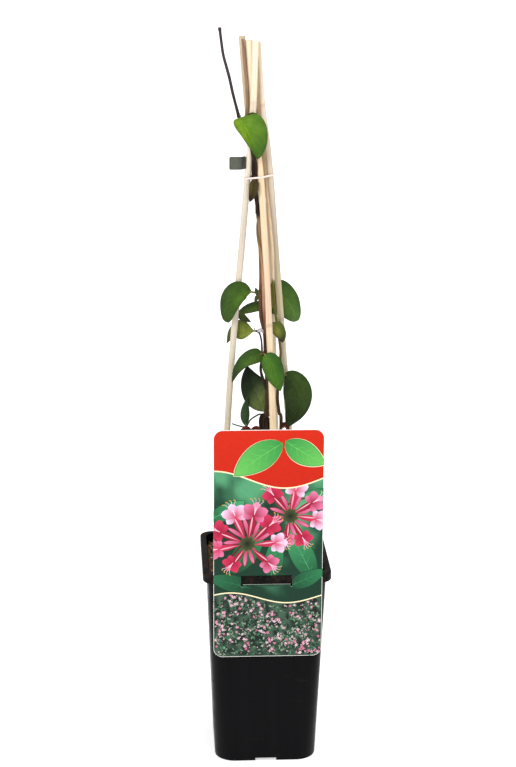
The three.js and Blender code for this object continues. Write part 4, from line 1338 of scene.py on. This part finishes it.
# ---------------------------------------------------------------- label
def blade_shape(x, z, angle, length, width, bend=0.0, belly=0.8, full=0.8, steps=9):
    """A petal- or leaf-shaped outline from its foot at (x, z), with its middle line bent sideways."""
    t = np.linspace(0, 1, steps)
    half = width / 2 * np.sin(np.pi * t**belly) ** full
    turn = np.radians(angle) + bend * t
    steps_along = length / (steps - 1)
    line = np.cumsum(np.column_stack([np.cos(turn), np.sin(turn)]) * steps_along, axis=0)
    line = line - line[0] + (x, z)
    normal = np.column_stack([-np.sin(turn), np.cos(turn)])
    left, right = line + normal * half[:, None], line - normal * half[:, None]
    return np.vstack([left, right[-2:0:-1]])


def stroke(points, width):
    """A line of a width as an outline."""
    points = np.asarray(points, float)
    along = unit(np.gradient(points, axis=0))
    normal = np.column_stack([-along[:, 1], along[:, 0]]) * width / 2
    return np.vstack([points + normal, (points - normal)[::-1]])


class Print:
    """Flat printed shapes, each over those before it, with colours that may change from place to place."""

    def __init__(self):
        self.shapes = []

    def add(self, outline, near, far=None, start=None, stop=None):
        """A shape, turned anticlockwise, in one colour or blending from near to far between two points."""
        outline = np.asarray(outline, float)
        x, z = outline.T
        if x @ np.roll(z, -1) < z @ np.roll(x, -1):
            outline = outline[::-1]
        self.shapes.append((outline, near, far, start, stop))

    def colours(self, index, points):
        """One shape's linear colours at points."""
        _, near, far, start, stop = self.shapes[index]
        if callable(near):
            return near(points)
        if far is None:
            return np.broadcast_to(linear(near), (len(points), 3))
        way = np.subtract(stop, start)
        t = np.clip((points - start) @ way / (way @ way), 0, 1)[:, None]
        return lerp(linear(near), linear(far), t)


CRIMSON, ROSE, PINK, BLUSH = (158, 20, 52), (204, 48, 88), (224, 122, 164), (240, 204, 222)
LILAC_WHITE, WINE, STEM_BROWN = (228, 210, 238), (88, 12, 30), (84, 38, 32)
HEADER_RED, HEADER_FOOT_RED, CREAM = (202, 34, 2), (194, 30, 2), (246, 232, 190)
LIME, GRASS, CARD_EDGE = (104, 190, 88), (50, 142, 66), (244, 242, 236)
BLOSSOM_TINTS = (BLUSH, PINK, (222, 190, 200), (196, 108, 134), (238, 230, 222), (206, 200, 196))
MEADOW_GREENS = ((60, 112, 78), (20, 56, 40), (106, 138, 106), (12, 32, 26), (132, 150, 128))
SEPAL, SEPAL_TIP, SEPAL_RIM = (24, 16, 12), (66, 82, 44), (22, 34, 18)
ANTHER, BLOSSOM_EYE = (214, 160, 70), (150, 96, 84)
MEADOW_BLADES, MEADOW_BLOSSOMS = 620, 760
MARGIN = 0.35


def ground_colour(points):
    """Soft green light and shade, like leaves far out of focus."""
    rows = []
    for x, z in points:
        soft = noise.noise(Vector((x * 0.045, z * 0.038, 2.5)))
        fine = noise.noise(Vector((x * 0.12, z * 0.1, 7.5)))
        light = float(smooth(-0.35, 0.6, soft + 0.35 * fine + 0.011 * (z - 236) + 0.003 * x))
        rows.append(lerp(linear((14, 52, 36)), linear((82, 154, 110)), light))
    return np.array(rows)


def meadow_colour(points):
    """Dark ground with specks, under the meadow's blossoms."""
    rows = []
    for x, z in points:
        speck = noise.noise(Vector((x * 0.3, z * 0.3, 4.5)))
        rows.append(lerp(linear((12, 30, 24)), linear((66, 92, 74)), float(smooth(-0.35, 0.5, speck))))
    return np.array(rows)


def towards(x, z, angle, length):
    """The point at a length from a point, in a direction in degrees."""
    return x + math.cos(math.radians(angle)) * length, z + math.sin(math.radians(angle)) * length


def petal(art, x, z, angle, length, width, bend, near, far, rim):
    """A petal with a darker rim and a faint line along it."""
    tip = towards(x, z, angle, length)
    art.add(blade_shape(x, z, angle, length * 1.04, width * 1.14, bend, 1.05, 0.6), rim, far, (x, z), tip)
    art.add(blade_shape(x, z, angle, length, width, bend, 1.05, 0.6), near, far, (x, z), tip)
    art.add(blade_shape(x, z, angle, length * 0.7, 0.4, bend, 0.6, 0.5, 6), rim, far, (x, z), tip)


def trumpet(art, x, z, angle, length, size, tube_colour, lobe_colour):
    """A tubular flower: a slim tube that opens into five lobes, with long stamens."""
    foot, mouth = (x, z), towards(x, z, angle, length)
    for reach, width, foot_colour in ((1.14, 5.2, WINE), (1.12, 4.3, CRIMSON)):
        outline = blade_shape(x, z, angle, length * reach, width * size, 0, 1.3, 0.75)
        art.add(outline, foot_colour, tube_colour, foot, mouth)
    art.add(blade_shape(x, z, angle + 3, length * 0.95, 1.1 * size, 0, 1.3, 0.8), ROSE, BLUSH, foot, mouth)
    for turn, scale in ((-100, 0.8), (96, 0.8), (-52, 1.0), (48, 1.0), (-2, 0.95)):
        petal(
            art, *mouth, angle + turn, 9.4 * size * scale, 6.2 * size * scale, turn * 0.006,
            tube_colour, lobe_colour, CRIMSON,
        )
    for turn in (-22, -8, 6, 20):
        line = [towards(*mouth, angle + turn * t, t * 11 * size) for t in np.linspace(0, 1, 5)]
        art.add(stroke(line, 0.36), BLUSH)
        art.add(blade_shape(*line[-1], angle + turn + 60, 1.7 * size, 0.9, 0, 1, 0.6, 5), ANTHER)


def bud_shape(art, x, z, angle, length):
    """A closed flower: a slim curved club with a darker rim."""
    tip = towards(x, z, angle, length)
    art.add(blade_shape(x, z, angle, length * 1.04, 3.9, 0.25, 1.5, 0.7), WINE, CRIMSON, (x, z), tip)
    art.add(blade_shape(x, z, angle, length, 3.1, 0.25, 1.5, 0.7), CRIMSON, PINK, (x, z), tip)


def leaf_shape(art, x, z, angle, length, width, near, far, bend=0.15):
    """A leaf with a darker rim, a midrib and side veins."""
    tip = towards(x, z, angle, length)
    art.add(blade_shape(x, z, angle, length * 1.02, width * 1.06, bend, 0.85, 0.75, 15), near)
    art.add(blade_shape(x, z, angle, length, width, bend, 0.85, 0.75, 15), near, far, (x, z), tip)
    for step in range(1, 6):
        share = step / 7
        turn = math.degrees(bend * share)
        root = towards(x, z, angle + turn / 2, length * share)
        for side in (-42, 42):
            reach = width * 0.42 * math.sin(math.pi * (share * 0.8 + 0.1))
            art.add(stroke([root, towards(*root, angle + turn + side, reach)], 0.28), far)
    art.add(blade_shape(x, z, angle, length * 0.94, 0.6, bend, 0.5, 0.4, 9), far)


def small_blossom(art, x, z, size):
    """A five-petalled blossom as one outline, with a dot in the middle."""
    start = rng.uniform(0, 6.28)
    turn = turns(15)
    reach = size * (0.62 + 0.38 * np.cos(5 * turn))
    outline = np.column_stack([x + reach * np.cos(turn + start), z + reach * np.sin(turn + start)])
    near = rng.choice(BLOSSOM_TINTS)
    art.add(outline, near, rng.choice((BLUSH, PINK)), (x - size, z), (x + size, z))
    dot = turns(6)
    art.add(np.column_stack([x + 0.22 * size * np.cos(dot), z + 0.22 * size * np.sin(dot)]), BLOSSOM_EYE)


def header_line(x):
    """The lower edge of the red header."""
    return 272.5 + 8 * np.cos((np.asarray(x) + LABEL["half"]) * np.pi / 62)


def meadow_line(x):
    """The upper edge of the flowery ground at the bottom."""
    return 163.5 - 5.0 * np.sin((np.asarray(x) + 8) * np.pi / 50)


def border(inset):
    """The card's outline, drawn in by an inset."""
    middle = (LABEL["bottom"] + LABEL["top"]) / 2
    half_height = (LABEL["top"] - LABEL["bottom"]) / 2 - inset
    return np.array(round_corners(LABEL["half"] - inset, half_height, LABEL["corner"] - inset, 12, middle))


# The middles of the two sprays of flowers.
SPRAYS = ((-18, 214), (19, 239))
# Printed flowers: place of the foot, direction, length, size, tube colour, lobe colour.
FLOWERS = [
    (20, 236, 300, 19, 1.0, CRIMSON, ROSE), (22, 239, 350, 20, 1.1, ROSE, LILAC_WHITE),
    (18, 236, 262, 17, 0.95, CRIMSON, PINK), (21, 241, 30, 20, 1.1, CRIMSON, PINK),
    (17, 242, 128, 20, 1.1, CRIMSON, ROSE), (19, 242, 78, 21, 1.2, ROSE, LILAC_WHITE),
    (-20, 210, 232, 17, 1.0, CRIMSON, ROSE), (-24, 213, 190, 20, 1.1, ROSE, PINK),
    (-14, 209, 318, 19, 1.05, CRIMSON, PINK), (-13, 213, 4, 20, 1.1, ROSE, LILAC_WHITE),
    (-23, 216, 154, 21, 1.15, CRIMSON, ROSE), (-14, 216, 44, 20, 1.15, CRIMSON, ROSE),
    (-20, 218, 112, 23, 1.3, ROSE, LILAC_WHITE), (-17, 218, 78, 23, 1.3, CRIMSON, PINK),
]
# Printed buds: place of the foot, direction, length.
PRINTED_BUDS = [
    (-18, 212, 255, 19), (-17, 212, 278, 17), (-15, 213, 298, 18), (-13, 215, 24, 19), (-21, 215, 172, 18),
    (-19, 217, 136, 20), (-17, 218, 95, 22), (-15, 217, 60, 19), (20, 238, 322, 18), (21, 240, 10, 18),
    (18, 241, 104, 19), (19, 241, 54, 20), (18, 237, 282, 17), (17, 240, 150, 17), (17, 238, 176, 15),
    (16, 237, 202, 14),
]
# Printed leaves: place of the foot, direction, length, width, colour at the foot, colour at the tip.
PRINTED_LEAVES = [
    (-34, 186, 50, 52, 20, (10, 60, 36), (46, 126, 78)), (40, 180, 112, 56, 20, (14, 74, 44), (66, 156, 100)),
    (2, 180, 78, 42, 16, (12, 66, 40), (56, 142, 88)), (-52, 236, 24, 36, 14, (16, 78, 46), (70, 160, 104)),
    (52, 262, 205, 34, 14, (22, 92, 56), (88, 178, 122)), (-14, 172, 160, 40, 15, (8, 50, 32), (38, 108, 68)),
    (18, 174, 20, 36, 14, (10, 56, 36), (44, 122, 76)),
]
# The header's leaves: place of the foot, direction, length, width.
HEADER_LEAVES = ((12, 305, 208, 50, 23), (14, 307, 322, 40, 20))


def in_meadow():
    """A chance place on the label's flowery ground, or a little above it."""
    return rng.uniform(-46, 46), rng.uniform(110, 168)


def print_sprays(art):
    """Two sprays of tubular flowers and buds on a stem, over large leaves."""
    for values in PRINTED_LEAVES:
        leaf_shape(art, *values)
    share = np.linspace(0, 1, 14)
    arc = np.column_stack([-40 + 76 * share, 192 + 64 * np.sin(share * 1.5)])
    art.add(stroke(arc, 1.5), WINE, STEM_BROWN, (-40, 192), (36, 256))
    for values in PRINTED_BUDS:
        bud_shape(art, *values)
    for values in FLOWERS:
        trumpet(art, *values)
    for x, z in SPRAYS:
        for turn in range(0, 360, 40):
            petal(art, x, z, turn + 15, 7, 3.6, 0.1, SEPAL, SEPAL_TIP, SEPAL_RIM)


def edge_of(line):
    """Points along a line that crosses the card."""
    half = LABEL["half"] - MARGIN
    xs = np.linspace(-half, half, 40)
    return np.column_stack([xs, line(xs)])


def closed_by(edge, corners):
    """The part of the card between an edge and some points of its border."""
    return np.vstack([edge, corners[np.argsort(-corners[:, 0])]])


def print_meadow(art, card):
    """A flowery meadow over the card's foot."""
    edge = edge_of(meadow_line)
    foot = card[card[:, 1] < LABEL["bottom"] + LABEL["corner"] + 0.5]
    art.add(closed_by(edge, foot), meadow_colour)
    for _ in range(MEADOW_BLADES):
        x, z = in_meadow()
        if z < meadow_line(x) - 3:
            shade = rng.choice(MEADOW_GREENS)
            length, width = rng.uniform(1.8, 4), rng.uniform(0.8, 1.6)
            art.add(blade_shape(x, z, rng.uniform(0, 360), length, width, 0, 0.85, 0.8, 5), shade)
    for _ in range(MEADOW_BLOSSOMS):
        x, z = in_meadow()
        size = rng.choice((0.5, 0.6, 0.8, 1.1, 1.5, 1.9))
        crowd = noise.noise(Vector((x * 0.11, z * 0.13, 1.5)))
        if z < meadow_line(x) - size - 0.7 and crowd > rng.uniform(-0.35, 0.3):
            small_blossom(art, x, z, size)
    art.add(stroke(edge, 1.1), CREAM)


def print_header(art, card):
    """A red header with two leaves."""
    edge = edge_of(header_line)
    top = card[card[:, 1] > LABEL["top"] - LABEL["corner"] - 0.5]
    art.add(closed_by(edge, top), HEADER_RED, HEADER_FOOT_RED, (0, LABEL["top"]), (0, 272))
    art.add(stroke(edge, 1.2), CREAM)
    for x, z, angle, length, width in HEADER_LEAVES:
        art.add(blade_shape(x, z, angle, length + 1.6, width + 2, 0.22, 0.85, 0.75, 15), CREAM)
        leaf_shape(art, x, z, angle, length, width, GRASS, LIME, 0.22)


def label_art():
    """The label's print: sprays of tubular flowers over soft green, a meadow and a red header."""
    art = Print()
    card = border(MARGIN)
    art.add(border(0), CARD_EDGE)
    art.add(card, ground_colour)
    print_sprays(art)
    print_meadow(art, card)
    print_header(art, card)
    return art


TONGUE_GAP, TONGUE_ROOT, TONGUE_BEVEL = 0.3, 0.35, 0.2
# Points that fill the card between its printed edges: their step, and how far in the first ones are.
CARD_GRID, CARD_GRID_START = 3.5, 2.2


def card_mesh(art):
    """Cuts the card's face along every printed edge. Returns points, faces and each face's shape number."""
    x0, x1, top, bottom = LABEL["slot_left"], LABEL["slot_right"], LABEL["slot_top"], LABEL["slot_bottom"]
    low, wide = bottom - LABEL["slot_end"], LABEL["slot_end_width"]
    slot = [
        (x0, top), (x0, low), (x0 + wide, low), (x0 + wide, bottom), (x1 - wide, bottom), (x1 - wide, low),
        (x1, low), (x1, top),
    ]
    points, faces = [], []
    for outline in [*(shape[0].tolist() for shape in art.shapes), slot]:
        faces.append(list(range(len(points), len(points) + len(outline))))
        points += outline
    slot_id = len(art.shapes)
    for x in np.arange(-LABEL["half"] + CARD_GRID_START, LABEL["half"], CARD_GRID):
        for z in np.arange(LABEL["bottom"] + CARD_GRID_START, LABEL["top"], CARD_GRID):
            points.append((x, z))
    found = delaunay_2d_cdt([Vector(p) for p in points], [], faces, 1, 1e-4)
    kept = [(face, max(ids)) for face, ids in zip(found[2], found[5]) if 0 in ids and slot_id not in ids]
    flat = np.array([tuple(p) for p in found[0]])
    used = sorted({i for face, _ in kept for i in face})
    number = {old: new for new, old in enumerate(used)}
    return flat[used], [[number[i] for i in face] for face, _ in kept], [shape for _, shape in kept]


def signed_area(corners):
    """Twice a flat triangle's area, below zero when its corners run anticlockwise."""
    return sum(corners[i][0] * corners[i - 1][1] - corners[i - 1][0] * corners[i][1] for i in range(3))


def add_tongue(card, back):
    """The tongue that runs from the card's back over the rim and down inside the pot."""
    z, down, thick = LABEL["slot_top"], LABEL["tongue_drop"], LABEL["thickness"]
    root, inside, bevel = back - TONGUE_ROOT, -POT["lip_wall"] + POT["wall"] + 0.45, TONGUE_BEVEL
    profile = [
        (root, z), (inside - bevel, z), (inside, z - bevel), (inside, z - down), (inside + thick, z - down),
        (inside + thick, z + bevel), (inside + 0.5, z + thick), (root, z + thick),
    ]
    ends = LABEL["slot_left"] + TONGUE_GAP, LABEL["slot_right"] - TONGUE_GAP
    rings = [[(x, y, h) for y, h in profile] for x in ends]
    card.add(rings_with_caps(rings), bridge(2, len(profile)), 1)


def make_label():
    """The picture label: a thin card, hooked over the rim by a tongue bent out of its slot."""
    art = label_art()
    flat, faces, shapes = card_mesh(art)
    faces = [face if signed_area(flat[face]) < 0 else face[::-1] for face in faces]
    front, back = LABEL["front"], LABEL["front"] + LABEL["thickness"]
    count = len(flat)
    points = np.vstack([np.column_stack([flat[:, 0], np.full(count, y), flat[:, 1]]) for y in (front, back)])
    edges = {(face[i], face[(i + 1) % 3]) for face in faces for i in range(3)}
    rim = sorted((a, b) for a, b in edges if (b, a) not in edges)
    solid = faces + [[i + count for i in face[::-1]] for face in faces]
    solid += [(b, a, a + count, b + count) for a, b in rim]
    card = Piece(card_material(), card_back_material())
    card.add(points, solid, [0] * len(faces) + [1] * (len(solid) - len(faces)))
    add_tongue(card, back)
    label = card.build("picture_label", "label", "label", sharp=30)

    colours = np.tile(rgba(CARD_WHITE), (len(label.data.loops), 1))
    shapes = np.array(shapes)
    for index in np.unique(shapes):
        printed = np.flatnonzero(shapes == index)
        corners = np.array([faces[i] for i in printed]).ravel()
        loops = (printed[:, None] * 3 + np.arange(3)).ravel()
        colours[loops, :3] = art.colours(index, flat[corners])
    layer = label.data.attributes.new("print", "FLOAT_COLOR", "CORNER")
    layer.data.foreach_set("color", colours.astype(np.float32).ravel())


# ---------------------------------------------------------------- stage, light and camera
FLOOR_HALF = 40000
# Each soft sun's direction, strength and width in degrees.
SUNS = {"key": ((0.5, 1.0, -0.7), 1.3, 25), "top": ((-0.15, 0.1, -1.0), 1.4, 30)}
# The camera's place round the pot's axis, its height, its turns in degrees and its lens on a 36 mm sensor.
CAMERA = {
    "distance": 1500, "height": 763.9, "azimuth": -3.528, "yaw": 0.243, "pitch": 15.714, "roll": 0.324,
    "lens": 123.76,
}
SURROUND_STRENGTH, FLOOR_GLOW, FLOOR_WHITE = 0.5, 0.5, (240, 240, 240)


def make_stage():
    """A plain pale floor, a white surround and soft light from the front left."""
    mesh = bpy.data.meshes.new("floor")
    size = FLOOR_HALF * MM
    corners = [(-size, -size, 0), (size, -size, 0), (size, size, 0), (-size, size, 0)]
    mesh.from_pydata(corners, [], [(0, 1, 2, 3)])
    floor = put_in_scene("floor", mesh)
    paint = Shader("floor_paint", 0.8, emission_color=(1, 1, 1, 1), emission_strength=FLOOR_GLOW)
    mesh.materials.append(paint.finish(FLOOR_WHITE))
    world = bpy.data.worlds.new("surround")
    world.use_nodes = True
    background = world.node_tree.nodes["Background"]
    background.inputs["Color"].default_value = (1, 1, 1, 1)
    background.inputs["Strength"].default_value = SURROUND_STRENGTH
    bpy.context.scene.world = world
    for name, (way, strength, angle) in SUNS.items():
        lamp = bpy.data.lights.new(name, "SUN")
        lamp.energy = strength
        lamp.angle = math.radians(angle)
        put_in_scene(name, lamp).rotation_euler = Vector(way).to_track_quat("-Z", "Y").to_euler()
    view = bpy.context.scene.view_settings
    view.view_transform = "Standard"
    view.look = "None"


def make_camera():
    """The camera, 1.5 m in front of the pot's axis and 0.76 m up, looking a little down."""
    distance = CAMERA["distance"]
    azimuth, yaw, pitch, roll = (math.radians(CAMERA[key]) for key in ("azimuth", "yaw", "pitch", "roll"))
    place = Vector((distance * math.sin(azimuth), -distance * math.cos(azimuth), CAMERA["height"]))
    heading = azimuth + yaw
    level = math.cos(pitch)
    ahead = Vector((-math.sin(heading) * level, math.cos(heading) * level, -math.sin(pitch)))
    right = ahead.cross(Vector((0, 0, 1))).normalized()
    above = right.cross(ahead)
    turned_right = right * math.cos(roll) + above * math.sin(roll)
    turned_above = above * math.cos(roll) - right * math.sin(roll)
    lens = bpy.data.cameras.new("camera")
    lens.sensor_fit = "HORIZONTAL"
    lens.sensor_width = 36
    lens.lens = CAMERA["lens"]
    lens.clip_end = 100
    camera = put_in_scene("camera", lens)
    turn = Matrix((turned_right, turned_above, -ahead)).transposed()
    camera.matrix_world = Matrix.Translation(place * MM) @ turn.to_4x4()
    bpy.context.scene.camera = camera


# ---------------------------------------------------------------- assembly
LEAF_FACE = leaf_material("leaf_face", under=False)
LEAF_UNDER = leaf_material("leaf_underside", under=True)
STALK = stalk_material()
BARK = bark_material()
BUD = bud_material()
BAMBOO = cane_material()
CANE_CUT = cane_cut_material()

make_camera()
make_stage()
make_pot()
make_soil()
make_soil_bits()
for cane_name, cane_route in CANES.items():
    make_cane(cane_name, cane_route)
for vine, stems, leaves in (
    ("vine_main", MAIN_STEMS, MAIN_LEAVES),
    ("vine_second", SECOND_STEMS, SECOND_LEAVES),
    ("vine_low", LOW_STEMS, LOW_LEAVES),
):
    make_stems(f"{vine}_stems", stems, leaves, vine)
    make_leaves(f"{vine}_leaves", leaves)
make_tie()
make_tape()
make_label()
